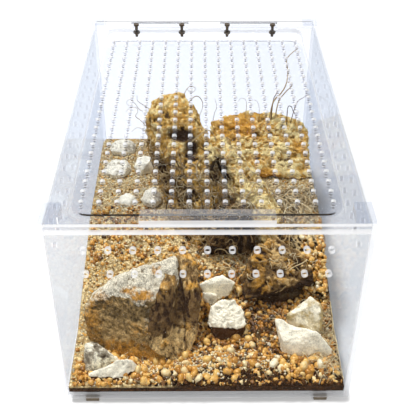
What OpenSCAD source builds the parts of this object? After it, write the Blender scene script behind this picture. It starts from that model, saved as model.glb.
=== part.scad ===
/* [Enclosure] */
// Outside width of the box, left to right
box_w = 200; // [194:1:320]
// Outside depth of the box, front to back
box_d = 300; // [290:1:420]
// Height of the front and rear panels, from the underside of the base
panel_h = 147; // [140:1:260]
// Thickness of the wall, panel and base sheet
wall_t = 3; // [2:0.5:5]
// Thickness of the frame sheet that ties the four sides together
frame_t = 3.8; // [3:0.1:6]
// Width of the frame's bars
frame_bar = 12; // [10:0.5:16]
// Radius of the frame window's corners
window_r = 8; // [3:0.5:20]

/* [Lid] */
// Thickness of the lid sheet
lid_t = 4; // [3:0.5:6]
// Running gap between the lid's edges and the side walls
lid_gap = 0.5; // [0.3:0.1:1]
// Gap between the lid's underside and the frame, and over the wall tops
seat_gap = 0.2; // [0.1:0.1:0.5]
// Thickness of the locating plate under the lid
plug_t = 3; // [2:0.5:5]
// Clearance of the locating plate at each side of the window
plug_side_gap = 1.5; // [0.5:0.1:3]
// Clearance of the locating plate at the front of the window
plug_front_gap = 3; // [1:0.5:6]
// Free bay behind the locating plate, for the hinge leaves
hinge_bay = 26; // [22:1:40]
// Radius of the locating plate's corners
plug_r = 12; // [4:1:20]

/* [Lid vents] */
// Diameter of a vent in the lid
lid_vent_d = 3; // [2:0.5:5]
// Spacing of the lid vents, both ways
lid_vent_pitch = 11; // [8:0.5:20]
// Least margin from a vent's centre to the locating plate's edge
lid_vent_margin = 6.5; // [5:0.5:15]

/* [Side vents] */
// Diameter of a vent in the front panel and the side walls
side_vent_d = 4; // [2:0.5:6]
// Spacing of the vents along a row
side_vent_pitch = 15; // [10:0.5:30]
// Drop from the panel's top to the upper row
vent_row_drop = 13; // [8:0.5:30]
// Drop from the upper row to the lower row
vent_row_pitch = 19; // [10:0.5:30]
// Least margin from a front vent to the box's outer face
front_vent_margin = 25; // [12:1:40]
// Least margin from a side vent to the box's outer face
side_vent_margin = 30; // [12:1:40]

/* [Handle and corner blocks] */
// Length of the lifting strip on the lid's front edge
handle_w = 80; // [40:1:140]
// Depth of the lifting strip
handle_d = 11; // [6:0.5:20]
// Height of the lifting strip
handle_h = 5; // [3:0.5:10]
// Overhang of the lifting strip in front of the box
handle_lip = 3.1; // [1:0.1:6]
// Width of a corner block
corner_block_w = 13; // [8:0.5:20]
// Depth of a corner block
corner_block_d = 15; // [8:0.5:20]
// Height of a corner block
corner_block_h = 5; // [3:0.5:10]
// Radius of a corner block's upright edges
corner_block_r = 1.5; // [0.5:0.5:4]

/* [Feet] */
// Side of a square foot pad
foot_w = 9; // [6:0.5:16]
// Height of a foot pad
foot_h = 3.5; // [1:0.5:6]
// Distance from the box's side to a foot pad
foot_side = 15; // [6:0.5:30]
// Distance from the box's front or rear to a foot pad
foot_end = 0.5; // [0.5:0.5:20]

/* [Hinges] */
// Distance from the box's middle to a hinge's middle
hinge_x = 40; // [30:1:60]
// Length of a hinge
hinge_l = 50; // [44:1:56]
// Distance from a hinge's middle to each of its screws
screw_x = 20; // [12:1:24]
// Thickness of a hinge leaf
leaf_t = 1.2; // [0.8:0.1:2]
// Depth of the leaf under the lid
lid_leaf_d = 20; // [18:0.5:24]
// Height of the leaf on the rear panel
rear_leaf_h = 20; // [12:0.5:40]
// Outer radius of a hinge knuckle
knuckle_r = 1.5; // [1.2:0.1:2.5]
// Length of the middle knuckle
knuckle_l = 17.4; // [8:0.1:24]
// Clearance between the knuckles and to the rear panel
knuckle_gap = 0.3; // [0.1:0.1:0.6]
// Gap between the knuckles and the rear panel's outer face
knuckle_off = 0.1; // [0.1:0.1:0.5]
// Radius of the hinge pin
pin_r = 0.75; // [0.5:0.05:1]
// Running clearance round the hinge pin and the screws
pin_gap = 0.05; // [0.02:0.01:0.1]
// Radius of the hinge pin's heads
pin_head_r = 1.2; // [0.9:0.1:1.5]
// Thickness of the hinge pin's heads
pin_head_t = 0.6; // [0.4:0.1:1.5]

/* [Screws] */
// Shank diameter of a hinge screw
screw_d = 2.5; // [2:0.5:3]
// Length of a hinge screw under its head
screw_l = 10; // [9:0.5:14]
// Distance from the lid's rear edge to the screws
screw_y = 15; // [13.5:0.5:17]
// Diameter of a hinge screw's head
screw_head_d = 4.6; // [3.5:0.1:6]
// Height of a hinge screw's head
screw_head_h = 1.4; // [1:0.1:2]
// Width of a nut across its flats
nut_af = 5; // [4:0.5:5.5]
// Height of a nut
nut_h = 2; // [1.5:0.1:2.5]

/* [Substrate] */
// Gap between the substrate and the glass sides
fill_gap = 0.3; // [0.2:0.1:1]
// Depth of the dark soil layer
soil_h = 4; // [2:0.5:12]
// Depth of the sand at the front panel
sand_front_h = 1; // [0.5:0.5:10]
// Depth of the sand at the foot of the bank
sand_bench_h = 3; // [1:0.5:15]
// Depth of the sand at the top of the bank
sand_bank_h = 31; // [20:1:45]
// Depth of the sand along its crest near the rear panel
sand_crest_h = 34; // [20:1:45]
// Depth of the sand at the rear panel
sand_rear_h = 24; // [15:1:45]
// Distance from the front panel to the foot of the bank
bench_d = 52; // [40:1:60]
// Distance from the front panel to the top of the bank
bank_d = 157; // [140:1:170]
// Distance from the rear panel to the sand's crest
crest_d = 24; // [15:1:40]
// Radius of the largest of the low drifts in the sand
drift_r = 13; // [6:0.5:16]
// Height of the largest drift
drift_h = 3.6; // [1:0.1:6]

/* [Stones] */
// Clearance between neighbouring pieces of stone and wood
rest_gap = 0.3; // [0.1:0.1:1]
// Radius of the worn edges of the small stones
stone_wear = 1.5; // [0.5:0.1:3]
// Width, depth and height of the boulder
boulder_size = [70, 82, 54]; // [20:1:120]
// Distance of the boulder's middle from the left wall and the front panel
boulder_place = [42, 60]; // [10:1:150]
// Radius of the worn edges of the boulder and the bark
boulder_wear = 2; // [0.5:0.1:5]
// Width, depth and height of the triangular stone
triangle_size = [25, 23, 20]; // [5:1:60]
// Distance of the triangular stone from the left wall and the front panel
triangle_place = [22, 23]; // [10:1:150]
// Width, depth and height of the long stone
long_size = [36, 18, 14]; // [5:1:60]
// Distance of the long stone from the left wall and the front panel
long_place = [31.5, 11.5]; // [10:1:150]
// Width, depth and height of the split stone's upper piece
split_size = [29, 18, 14]; // [5:1:60]
// Distance of the split stone from the left wall and the front panel
split_place = [106, 87.5]; // [10:1:150]
// Width, depth and height of the split stone's lower piece
chip_size = [12, 9, 10]; // [5:1:60]
// Distance of the lower piece from the left wall and the front panel
chip_place = [100, 76.5]; // [10:1:150]
// Width, depth and height of the chalky stone
chalk_size = [29, 28, 24]; // [5:1:60]
// Distance of the chalky stone from the left wall and the front panel
chalk_place = [112, 53.5]; // [10:1:150]
// Width, depth and height of the saddle-shaped stone
saddle_size = [42, 24, 24]; // [5:1:60]
// Distance of the saddle-shaped stone from the right wall and the front panel
saddle_place = [26.5, 35.5]; // [10:1:150]
// Width, depth and height of the wedge behind the saddle-shaped stone
wedge_size = [28, 21, 26]; // [5:1:60]
// Distance of the wedge from the right wall and the front panel
wedge_place = [22.5, 57]; // [10:1:150]
// Width, depth and height of the flat stone in the rear corner
corner_size = [27, 24, 9]; // [5:1:60]
// Distance of the stone in the corner from the left wall and the rear panel
corner_place = [20, 36]; // [10:1:150]
// Width, depth and height of the wide flat stone
wide_size = [27, 28, 8]; // [5:1:60]
// Distance of the wide flat stone from the left wall and the rear panel
wide_place = [18, 70]; // [10:1:150]
// Width, depth and height of the pale flat stone
pale_size = [20, 24, 10]; // [5:1:60]
// Distance of the pale flat stone from the left wall and the rear panel
pale_place = [42, 66]; // [10:1:150]
// Width, depth and height of the low flat stone
low_size = [17, 18, 6]; // [5:1:60]
// Distance of the low flat stone from the left wall and the rear panel
low_place = [30, 116]; // [10:1:150]
// Width, depth and height of the mound-shaped stone
mound_size = [19, 22, 11]; // [5:1:60]
// Distance of the mound-shaped stone from the left wall and the rear panel
mound_place = [51, 114]; // [10:1:150]

/* [Bark and roots] */
// Width, depth and height of the driftwood slab
slab_size = [25, 69, 51]; // [10:1:120]
// Distance of the driftwood slab from the left wall and the front panel
slab_place = [80.5, 54.5]; // [10:1:150]
// Radius of the standing trunk
trunk_r = 26; // [10:0.5:40]
// Height of the trunk's top over its foot
trunk_h = 104; // [60:1:125]
// Distance of the trunk's foot from the left wall and the front panel
trunk_place = [100, 143]; // [20:1:200]
// Depth of the trunk's foot under the sand
trunk_sink = 15; // [5:1:20]
// Drift of the trunk to the rear, from its foot to its top
trunk_lean = 66; // [30:1:70]
// Drift of the trunk to the left, from its foot to its top
trunk_drift = 35; // [0:1:60]
// Radius of the arching branch
arch_r = 15; // [6:0.5:24]
// Distance of the branch's upper end from the left wall and the front panel
arch_place = [93, 190]; // [20:1:220]
// Height of the branch's upper end over the bank
arch_rise = 50; // [20:1:70]
// Reach of the branch to the right, to the front and down
arch_reach = [62, 59, 62]; // [20:1:100]
// Width, depth and height of the root stump
stump_size = [41, 30, 36]; // [10:1:80]
// Distance of the root stump from the left wall and the front panel
stump_place = [116.5, 132]; // [20:1:220]
// Width, depth and height of the cork chunk at the front
chunk_size = [55, 45, 36]; // [10:1:120]
// Distance of the cork chunk from the right wall and the front panel
chunk_place = [41.5, 91.5]; // [10:1:150]
// Width, depth and height of the cork block at the rear
block_size = [90, 65, 42]; // [20:1:150]
// Distance of the cork block from the right wall and the rear panel
block_place = [46.5, 52]; // [10:1:150]
// Height of the ledges that stand proud of the cork block
ledge_h = 2.8; // [0.5:0.1:5]
// Width, depth and height of the root mat
mat_size = [44, 114, 20]; // [10:1:150]
// Distance of the root mat from the right wall and the rear panel
mat_place = [25.5, 163]; // [10:1:200]

/* [Hidden] */
// Facets of round parts that stay round
$fn = 48;
// Overrun of a cutting shape past the face it cuts
cut = 1;

// Heights, from the feet up
base_z = foot_h;
floor_z = base_z + wall_t;
panel_top = base_z + panel_h;
frame_top = panel_top + frame_t;
lid_z = frame_top + seat_gap;
lid_top = lid_z + lid_t;
wall_top = lid_top - seat_gap;

// Plan sizes
in_w = box_w - 2 * wall_t;
front_y = -box_d / 2;
rear_y = box_d / 2;
lid_w = in_w - 2 * lid_gap;
lid_rear = rear_y - lid_gap;
window_w = in_w - 2 * frame_bar;
window_front = front_y + frame_bar;
window_rear = rear_y - frame_bar;
plug_w = window_w - 2 * plug_side_gap;
plug_front = window_front + plug_front_gap;
plug_rear = window_rear - hinge_bay;

// Width of the frame's notch for a hinge leaf
notch_w = hinge_l + 2 * lid_gap;

// Hinge axis, behind the rear panel in the plane of the leaf under the lid
axis_y = rear_y + knuckle_off + knuckle_r;
axis_z = lid_z - leaf_t / 2;

// Surface of the substrate as pairs of distance along Y and height
ground_line = [
    [front_y + wall_t, floor_z + soil_h + sand_front_h],
    [front_y + wall_t + bench_d, floor_z + soil_h + sand_bench_h],
    [front_y + wall_t + bank_d, floor_z + soil_h + sand_bank_h],
    [rear_y - wall_t - crest_d, floor_z + soil_h + sand_crest_h],
    [rear_y - wall_t, floor_z + soil_h + sand_rear_h]
];

function ground(y) = lookup(y, ground_line);
function from_front(d) = front_y + wall_t + d;
function from_rear(d) = rear_y - wall_t - d;
function from_left(d) = -in_w / 2 + d;
function from_right(d) = in_w / 2 - d;

// Drifts in the sand: distances from the left wall and the front panel, and the share of the largest size
drifts = [
    [88, 10, 0.7], [111, 23, 1], [135, 25, 0.85], [161, 12, 0.8], [183, 11, 0.75], [137, 53, 0.75],
    [87, 106, 0.85], [111, 105, 0.7], [60, 111, 0.75], [19, 117, 1], [37, 137, 0.9], [14, 151, 0.9],
    [14, 193, 0.7], [64, 239, 0.85], [47, 263, 0.9], [77, 265, 0.9], [119, 285, 0.6], [157, 285, 0.6]
];

// Centred row of places with a fixed pitch that keeps a margin at both ends
function row(length, pitch, margin) =
    let (n = floor((length - 2 * margin) / pitch + 0.001))
    [for (i = [0:n]) (i - n / 2) * pitch];

module rounded_plan(x0, x1, y0, y1, r) {
    difference() {
        translate([x0, y0]) square([x1 - x0, y1 - y0]);
        for (sx = [0, 1], sy = [0, 1])
            translate([sx == 0 ? x0 : x1, sy == 0 ? y0 : y1])
                difference() {
                    square(2 * r, center = true);
                    translate([(sx == 0 ? 1 : -1) * r, (sy == 0 ? 1 : -1) * r]) circle(r = r);
                }
    }
}

// Panel drawn in its own plane, with its two rows of vents under the top edge
module vented_sheet(length, height, t, margin) {
    linear_extrude(t)
        difference() {
            translate([-length / 2, 0]) square([length, height]);
            for (x = row(length, side_vent_pitch, margin), k = [0, 1])
                translate([x, panel_h - vent_row_drop - k * vent_row_pitch]) circle(d = side_vent_d);
        }
}

module base_panel() {
    color([0.93, 0.95, 0.96, 0.35])
        translate([-in_w / 2, front_y + wall_t, base_z])
            cube([in_w, box_d - 2 * wall_t, wall_t]);
}

module front_panel() {
    color([0.93, 0.95, 0.96, 0.35])
        translate([0, front_y + wall_t, base_z])
            rotate([90, 0, 0])
                vented_sheet(in_w, panel_h, wall_t, front_vent_margin - wall_t);
}

module rear_panel() {
    color([0.93, 0.95, 0.96, 0.35])
        translate([-in_w / 2, rear_y - wall_t, base_z])
            cube([in_w, wall_t, panel_h]);
}

module side_wall(side) {
    color([0.93, 0.95, 0.96, 0.35])
        translate([side * box_w / 2 - (side > 0 ? wall_t : 0), 0, base_z])
            rotate([90, 0, 90])
                vented_sheet(box_d, wall_top - base_z, wall_t, side_vent_margin);
}

module left_wall() { side_wall(-1); }
module right_wall() { side_wall(1); }

module top_frame() {
    color([0.90, 0.93, 0.95, 0.4])
        difference() {
            translate([0, 0, panel_top])
                linear_extrude(frame_t)
                    difference() {
                        translate([-in_w / 2, front_y]) square([in_w, box_d]);
                        rounded_plan(-window_w / 2, window_w / 2, window_front, window_rear, window_r);
                    }
            for (s = [-1, 1])
                translate([s * hinge_x - notch_w / 2, window_rear - cut, lid_z - leaf_t - knuckle_gap])
                    cube([notch_w, frame_bar + 2 * cut, frame_t]);
        }
}

module lid_vents() {
    for (x = row(plug_w, lid_vent_pitch, lid_vent_margin))
        for (y = row(plug_rear - plug_front, lid_vent_pitch, lid_vent_margin))
            translate([x, (plug_front + plug_rear) / 2 + y]) circle(d = lid_vent_d, $fn = 24);
}

module lid_plate() {
    color([0.90, 0.94, 0.97, 0.35])
        translate([0, 0, lid_z])
            linear_extrude(lid_t)
                difference() {
                    translate([-lid_w / 2, front_y]) square([lid_w, lid_rear - front_y]);
                    lid_vents();
                    for (s = [-1, 1], k = [-1, 1])
                        translate([s * hinge_x + k * screw_x, lid_rear - screw_y])
                            circle(d = screw_d + 2 * pin_gap);
                }
}

module lid_locating_plate() {
    color([0.88, 0.93, 0.97, 0.35])
        translate([0, 0, lid_z - plug_t])
            linear_extrude(plug_t)
                difference() {
                    rounded_plan(-plug_w / 2, plug_w / 2, plug_front, plug_rear, plug_r);
                    lid_vents();
                }
}

module lid_handle() {
    color([0.95, 0.96, 0.97, 0.5])
        translate([-handle_w / 2, front_y - handle_lip, lid_top])
            cube([handle_w, handle_d, handle_h]);
}

// Block on a lid corner, flush with the box's outer side and standing over the wall's top
module corner_block(side, end) {
    x0 = side > 0 ? box_w / 2 - corner_block_w : -box_w / 2;
    y0 = end > 0 ? lid_rear - corner_block_d : front_y;
    color([0.95, 0.96, 0.97, 0.5])
        translate([0, 0, lid_top])
            linear_extrude(corner_block_h)
                rounded_plan(x0, x0 + corner_block_w, y0, y0 + corner_block_d, corner_block_r);
}

module block_front_left() { corner_block(-1, -1); }
module block_front_right() { corner_block(1, -1); }
module block_rear_left() { corner_block(-1, 1); }
module block_rear_right() { corner_block(1, 1); }

module foot(side, end) {
    x = side * (box_w / 2 - foot_side - foot_w / 2);
    y = end * (box_d / 2 - foot_end - foot_w / 2);
    color([0.62, 0.57, 0.50])
        translate([x - foot_w / 2, y - foot_w / 2, 0])
            cube([foot_w, foot_w, foot_h]);
}

module foot_front_left() { foot(-1, -1); }
module foot_front_right() { foot(1, -1); }
module foot_rear_left() { foot(-1, 1); }
module foot_rear_right() { foot(1, 1); }

// Cylinder along X between two places on the hinge axis
module axle(x0, x1, r) {
    translate([x0, axis_y, axis_z]) rotate([0, 90, 0]) cylinder(r = r, h = x1 - x0);
}

// Leaf bonded to the rear panel, with the two outer knuckles
module rear_leaf(side) {
    xc = side * hinge_x;
    leaf_top = axis_z - knuckle_r - knuckle_gap;
    outer_l = (hinge_l - knuckle_l) / 2 - knuckle_gap;
    color([0.85, 0.9, 0.92, 0.5])
        difference() {
            union() {
                translate([xc - hinge_l / 2, rear_y, leaf_top - rear_leaf_h])
                    cube([hinge_l, leaf_t, rear_leaf_h]);
                for (x0 = [xc - hinge_l / 2, xc + hinge_l / 2 - outer_l]) {
                    axle(x0, x0 + outer_l, knuckle_r);
                    translate([x0, rear_y, leaf_top - cut]) cube([outer_l, leaf_t, axis_z - leaf_top + cut]);
                }
            }
            axle(xc - hinge_l / 2 - cut, xc + hinge_l / 2 + cut, pin_r + pin_gap);
        }
}

module hinge_rear_leaf_left() { rear_leaf(-1); }
module hinge_rear_leaf_right() { rear_leaf(1); }

// Leaf screwed under the lid, with the middle knuckle
module lid_leaf(side) {
    xc = side * hinge_x;
    color([0.85, 0.9, 0.92, 0.5])
        difference() {
            union() {
                translate([xc - hinge_l / 2, lid_rear - lid_leaf_d, lid_z - leaf_t])
                    cube([hinge_l, lid_leaf_d, leaf_t]);
                translate([xc - knuckle_l / 2, lid_rear - cut, lid_z - leaf_t])
                    cube([knuckle_l, axis_y - lid_rear + cut, leaf_t]);
                axle(xc - knuckle_l / 2, xc + knuckle_l / 2, knuckle_r);
            }
            axle(xc - hinge_l / 2, xc + hinge_l / 2, pin_r + pin_gap);
            for (k = [-1, 1])
                translate([xc + k * screw_x, lid_rear - screw_y, lid_z - leaf_t - cut])
                    cylinder(d = screw_d + 2 * pin_gap, h = leaf_t + 2 * cut);
        }
}

module hinge_lid_leaf_left() { lid_leaf(-1); }
module hinge_lid_leaf_right() { lid_leaf(1); }

module hinge_pin(side) {
    xc = side * hinge_x;
    x1 = hinge_l / 2 + pin_gap;
    color([0.9, 0.92, 0.93])
        union() {
            axle(xc - x1, xc + x1, pin_r);
            axle(xc - x1 - pin_head_t, xc - x1, pin_head_r);
            axle(xc + x1, xc + x1 + pin_head_t, pin_head_r);
        }
}

module hinge_pin_left() { hinge_pin(-1); }
module hinge_pin_right() { hinge_pin(1); }

// The four screws through the lid and the leaves under it
module hinge_screws() {
    color([0.35, 0.3, 0.25])
        for (s = [-1, 1], k = [-1, 1])
            translate([s * hinge_x + k * screw_x, lid_rear - screw_y, lid_top]) {
                translate([0, 0, -screw_l]) cylinder(d = screw_d, h = screw_l);
                cylinder(d = screw_head_d, h = screw_head_h);
            }
}

module hinge_nuts() {
    color([0.45, 0.4, 0.33])
        for (s = [-1, 1], k = [-1, 1])
            translate([s * hinge_x + k * screw_x, lid_rear - screw_y, lid_z - leaf_t - nut_h])
                difference() {
                    cylinder(d = nut_af / cos(30), h = nut_h, $fn = 6);
                    translate([0, 0, -cut]) cylinder(d = screw_d + 2 * pin_gap, h = nut_h + 2 * cut);
                }
}

module soil_layer() {
    color([0.24, 0.15, 0.08])
        translate([-in_w / 2 + fill_gap, front_y + wall_t + fill_gap, floor_z])
            cube([in_w - 2 * fill_gap, box_d - 2 * wall_t - 2 * fill_gap, soil_h]);
}

// Everything under the substrate's surface, as a block of a given width
module below_ground(width, inset, bottom) {
    y0 = front_y + wall_t + inset;
    y1 = rear_y - wall_t - inset;
    middle = [for (i = [1:len(ground_line) - 2]) ground_line[i]];
    outline = concat([[y0, bottom], [y0, ground(y0)]], middle, [[y1, ground(y1)], [y1, bottom]]);
    rotate([90, 0, 90])
        translate([0, 0, -width / 2])
            linear_extrude(width) polygon(outline);
}

// Low drift lying on the slope of the sand, its foot a little way in
module drift(x, y, share) {
    r = drift_r * share;
    h = drift_h * share;
    translate([x, y, ground(y)])
        rotate([atan((ground(y + 1) - ground(y - 1)) / 2), 0, 0])
            hull() {
                translate([0, 0, -0.5]) cylinder(r = r, h = 0.2, $fn = 9);
                cylinder(r = 0.62 * r, h = 0.75 * h, $fn = 9);
                cylinder(r = 0.24 * r, h = h, $fn = 9);
            }
}

module sand_bank() {
    color([0.80, 0.68, 0.45])
        union() {
            below_ground(in_w - 2 * fill_gap, fill_gap, floor_z + soil_h);
            difference() {
                for (d = drifts) drift(from_left(d[0]), from_front(d[1]), d[2]);
                boulder_form(rest_gap);
                long_form(rest_gap);
                chalk_form(rest_gap);
                saddle_form(rest_gap);
                split_upper_form(rest_gap);
                trunk_form(rest_gap);
                stump_form(rest_gap);
                chunk_form(rest_gap);
                block_form(rest_gap);
            }
        }
}

// What stands on the substrate, with a face that lies on it
module seated() {
    difference() {
        children();
        below_ground(2 * box_w, 0, -box_d);
    }
}

// Stone or bark with worn corners, which are shares of its own size, down into the substrate
module worn_hull(x, y, size, corners, r, grow = 0) {
    inner = [size[0] - 2 * r, size[1] - 2 * r, size[2] - r];
    translate([x, y, ground(y)])
        hull()
            for (c = corners)
                translate([c[0] * inner[0], c[1] * inner[1], c[2] * inner[2]]) sphere(r = r + grow, $fn = 8);
}

module boulder_form(grow) {
    worn_hull(from_left(boulder_place[0]), from_front(boulder_place[1]), boulder_size, [
        [-0.5, -0.1, 0.4], [-0.47, -0.18, -0.08], [-0.21, -0.37, -0.08], [0.06, -0.44, -0.08],
        [0.39, -0.5, -0.08], [0.33, -0.29, 0.44], [0.44, -0.05, 0.83], [0.5, 0.15, 1],
        [0.21, 0.08, 0.98], [-0.09, -0.04, 0.87], [-0.3, -0.05, 0.65], [0.12, -0.23, 0.71],
        [-0.47, 0.28, 0.17], [-0.08, 0.45, 0.12], [0.42, 0.5, 0.12], [0.45, 0.4, 0.69],
        [-0.21, 0.29, 0.5]
    ], boulder_wear, grow);
}

module boulder() {
    color([0.55, 0.45, 0.30]) seated() boulder_form(0);
}

module driftwood_slab() {
    color([0.45, 0.34, 0.20])
        difference() {
            seated() worn_hull(from_left(slab_place[0]), from_front(slab_place[1]), slab_size, [
                [-0.5, -0.21, 0.24], [-0.36, -0.5, -0.08], [0.07, -0.44, -0.08], [0.4, -0.19, 0.22],
                [0.5, 0.02, 0.53], [0.4, 0.33, 0.9], [-0.21, 0.32, 1], [-0.45, 0.07, 0.69],
                [-0.45, -0.12, -0.08], [0.21, -0.08, -0.08], [0.5, 0.22, 0.41], [0.4, 0.48, 0.86],
                [-0.17, 0.5, 0.94]
            ], boulder_wear);
            boulder_form(rest_gap);
        }
}

module long_form(grow) {
    worn_hull(from_left(long_place[0]), from_front(long_place[1]), long_size, [
        [-0.5, -0.23, 0.24], [-0.11, -0.17, 0.48], [0.11, 0.1, 0.96], [0.35, 0.17, 0.88],
        [0.5, 0.23, 0.16], [0.29, -0.23, -0.24], [0.02, -0.5, -0.24], [-0.5, -0.3, -0.24],
        [-0.44, 0.17, -0.24], [0.23, 0.5, -0.24]
    ], stone_wear, grow);
}

module stone_long() {
    color([0.85, 0.80, 0.68]) seated() long_form(0);
}

module stone_triangle() {
    color([0.78, 0.76, 0.70])
        difference() {
            seated() worn_hull(from_left(triangle_place[0]), from_front(triangle_place[1]), triangle_size, [
                [-0.45, -0.05, 1], [-0.18, 0, 0.92], [0.23, -0.2, 0.7], [0.5, -0.25, 0.38],
                [0.32, -0.3, -0.16], [-0.41, -0.5, -0.16], [-0.5, -0.35, 0.49], [-0.45, 0.4, -0.16],
                [0.27, 0.2, -0.16], [-0.41, 0.4, 0.54]
            ], stone_wear);
            boulder_form(rest_gap);
            long_form(rest_gap);
        }
}

module split_upper_form(grow) {
    worn_hull(from_left(split_place[0]), from_front(split_place[1]), split_size, [
        [-0.5, -0.37, 0.8], [-0.04, -0.03, 1], [0.23, -0.1, 1], [0.5, -0.17, 0.72],
        [0.35, -0.3, 0], [0.04, -0.5, -0.4], [-0.35, -0.43, 0], [-0.31, 0.43, -0.4],
        [0.35, 0.5, -0.4], [0.15, 0.43, 0.64], [0.31, -0.37, -0.4], [-0.31, -0.3, -0.4]
    ], stone_wear, grow);
}

module chalk_form(grow) {
    worn_hull(from_left(chalk_place[0]), from_front(chalk_place[1]), chalk_size, [
        [-0.16, 0.26, 1], [0.23, 0.26, 1], [0.46, 0.06, 0.72], [0.5, -0.18, 0.4],
        [0.5, -0.14, -0.13], [0.27, -0.3, -0.13], [-0.27, -0.5, -0.13], [-0.5, -0.02, -0.09],
        [-0.5, -0.1, 0.36], [-0.38, 0.14, 0.89], [-0.31, 0.5, -0.09], [0.35, 0.5, -0.09],
        [-0.35, -0.34, 0.36]
    ], stone_wear, grow);
}

module stone_split_upper() {
    color([0.84, 0.78, 0.62])
        difference() {
            seated() split_upper_form(0);
            chalk_form(rest_gap);
        }
}

module stone_split_lower() {
    color([0.82, 0.76, 0.60])
        difference() {
            seated() worn_hull(from_left(chip_place[0]), from_front(chip_place[1]), chip_size, [
                [-0.5, 0.21, 1], [0.5, -0.21, 1], [0.3, -0.5, -0.33], [-0.4, -0.07, 0.56],
                [-0.5, 0.5, -0.33], [0.5, 0.5, -0.33]
            ], stone_wear);
            chalk_form(rest_gap);
            split_upper_form(rest_gap);
        }
}

module stone_chalk() {
    color([0.90, 0.88, 0.82]) seated() chalk_form(0);
}

module saddle_form(grow) {
    worn_hull(from_right(saddle_place[0]), from_front(saddle_place[1]), saddle_size, [
        [-0.37, 0.31, 1], [-0.22, 0.07, 0.93], [0.01, -0.12, 0.8], [0.24, -0.17, 0.8],
        [0.35, -0.26, 0.58], [0.5, -0.4, 0.27], [0.5, -0.5, -0.13], [-0.12, -0.4, -0.13],
        [-0.35, -0.26, -0.13], [-0.37, -0.21, 0.53], [-0.5, 0.4, 0.89], [-0.32, 0.5, -0.13],
        [0.45, 0.21, -0.13]
    ], stone_wear, grow);
}

module stone_saddle() {
    color([0.87, 0.83, 0.72]) seated() saddle_form(0);
}

module wedge_form(grow) {
    worn_hull(from_right(wedge_place[0]), from_front(wedge_place[1]), wedge_size, [
        [-0.5, 0, 0.41], [0.14, 0.22, 0.98], [0.34, -0.17, 1], [0.42, -0.44, 0.73],
        [0.42, -0.5, 0.16], [-0.02, -0.44, 0.16], [-0.38, -0.11, 0.16], [-0.5, 0.06, -0.2],
        [0.46, -0.39, -0.2], [0.22, 0.5, -0.16], [-0.26, 0.5, -0.16], [0.5, 0.28, -0.16]
    ], stone_wear, grow);
}

module stone_wedge() {
    color([0.80, 0.73, 0.58])
        difference() {
            seated() wedge_form(0);
            saddle_form(rest_gap);
        }
}

// Low stone with worn edges; crown is the share of its width that its top takes
module flat_stone(place, size, crown, turn) {
    seated() worn_hull(from_left(place[0]), from_rear(place[1]), size, [
        for (i = [0:6])
            let (a = turn + i * 360 / 7)
            [0.5 * cos(a), 0.5 * sin(a), 0.35 + 0.25 * sin(i * 97 + turn)],
        for (i = [0:4])
            let (a = turn + i * 360 / 5)
            [0.5 * crown * cos(a), 0.5 * crown * sin(a), 0.9 + 0.1 * sin(i * 200)],
        for (i = [0:5])
            let (a = turn + i * 360 / 6)
            [0.45 * cos(a), 0.45 * sin(a), -0.5]
    ], stone_wear);
}

module stone_rear_corner() {
    color([0.84, 0.79, 0.66]) flat_stone(corner_place, corner_size, 0.6, 20);
}

module stone_rear_wide() {
    color([0.80, 0.75, 0.62]) flat_stone(wide_place, wide_size, 0.75, 50);
}

module stone_rear_pale() {
    color([0.88, 0.84, 0.74]) flat_stone(pale_place, pale_size, 0.7, 5);
}

module stone_mid_flat() {
    color([0.86, 0.80, 0.66]) flat_stone(low_place, low_size, 0.7, 30);
}

module stone_mid_mound() {
    color([0.84, 0.77, 0.60]) flat_stone(mound_place, mound_size, 0.45, 80);
}

// Number of sides of a log's outline
log_sides = 14;

// Unevenness of a log's outline, from the angle round it and its station
function lump(a, k) = 1 + 0.10 * sin(3 * a + 50 * k) + 0.06 * sin(5 * a - 80 * k);

function station_axis(s, k) =
    let (
        a = s[max(k - 1, 0)],
        b = s[min(k + 1, len(s) - 1)],
        d = [b[0] - a[0], b[1] - a[1], b[2] - a[2]]
    )
    d / norm(d);

function log_ring(s, k, flat) =
    let (
        t = station_axis(s, k),
        side = cross(t, [0, 1, 0.01]),
        u = side / norm(side),
        v = cross(u, t)
    )
    [for (i = [0:log_sides - 1])
        let (a = 360 * i / log_sides, r = s[k][3] * lump(a, k))
        [s[k][0], s[k][1], s[k][2]] + r * cos(a) * u + r * flat * sin(a) * v];

// Rough log: rings of an uneven outline carried along stations of place and radius
module rough_log(s, flat) {
    n = len(s);
    points = [for (k = [0:n - 1]) each log_ring(s, k, flat)];
    first_cap = [for (i = [1:log_sides - 2]) [0, i + 1, i]];
    last_cap = [for (i = [1:log_sides - 2]) [0, i, i + 1] + [1, 1, 1] * (n - 1) * log_sides];
    sides = [
        for (k = [0:n - 2], i = [0:log_sides - 1])
            let (j = (i + 1) % log_sides, a = k * log_sides, b = a + log_sides)
            each [[a + i, a + j, b + j], [a + i, b + j, b + i]]
    ];
    polyhedron(points, concat(first_cap, sides, last_cap));
}

// Log from a start place: each station has its shares of the reach and its share of the radius
module bark_log(start, reach, r, grow, flat, shares) {
    rough_log([
        for (q = shares)
            concat([for (i = [0:2]) start[i] + q[i] * reach[i]], [q[3] * r + grow])
    ], flat);
}

module trunk_form(grow) {
    y = from_front(trunk_place[1]);
    bark_log(
        [from_left(trunk_place[0]), y, ground(y) - trunk_sink],
        [-trunk_drift, trunk_lean, trunk_h],
        trunk_r, grow, 0.85,
        [[0, 0, 0, 0.96], [0.14, 0.2, 0.2, 1], [0.4, 0.45, 0.45, 1], [0.69, 0.7, 0.7, 0.96],
         [0.91, 0.9, 0.9, 0.81], [1, 1, 1, 0.46]]
    );
}

module cork_trunk() {
    color([0.70, 0.54, 0.30]) seated() trunk_form(0);
}

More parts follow.
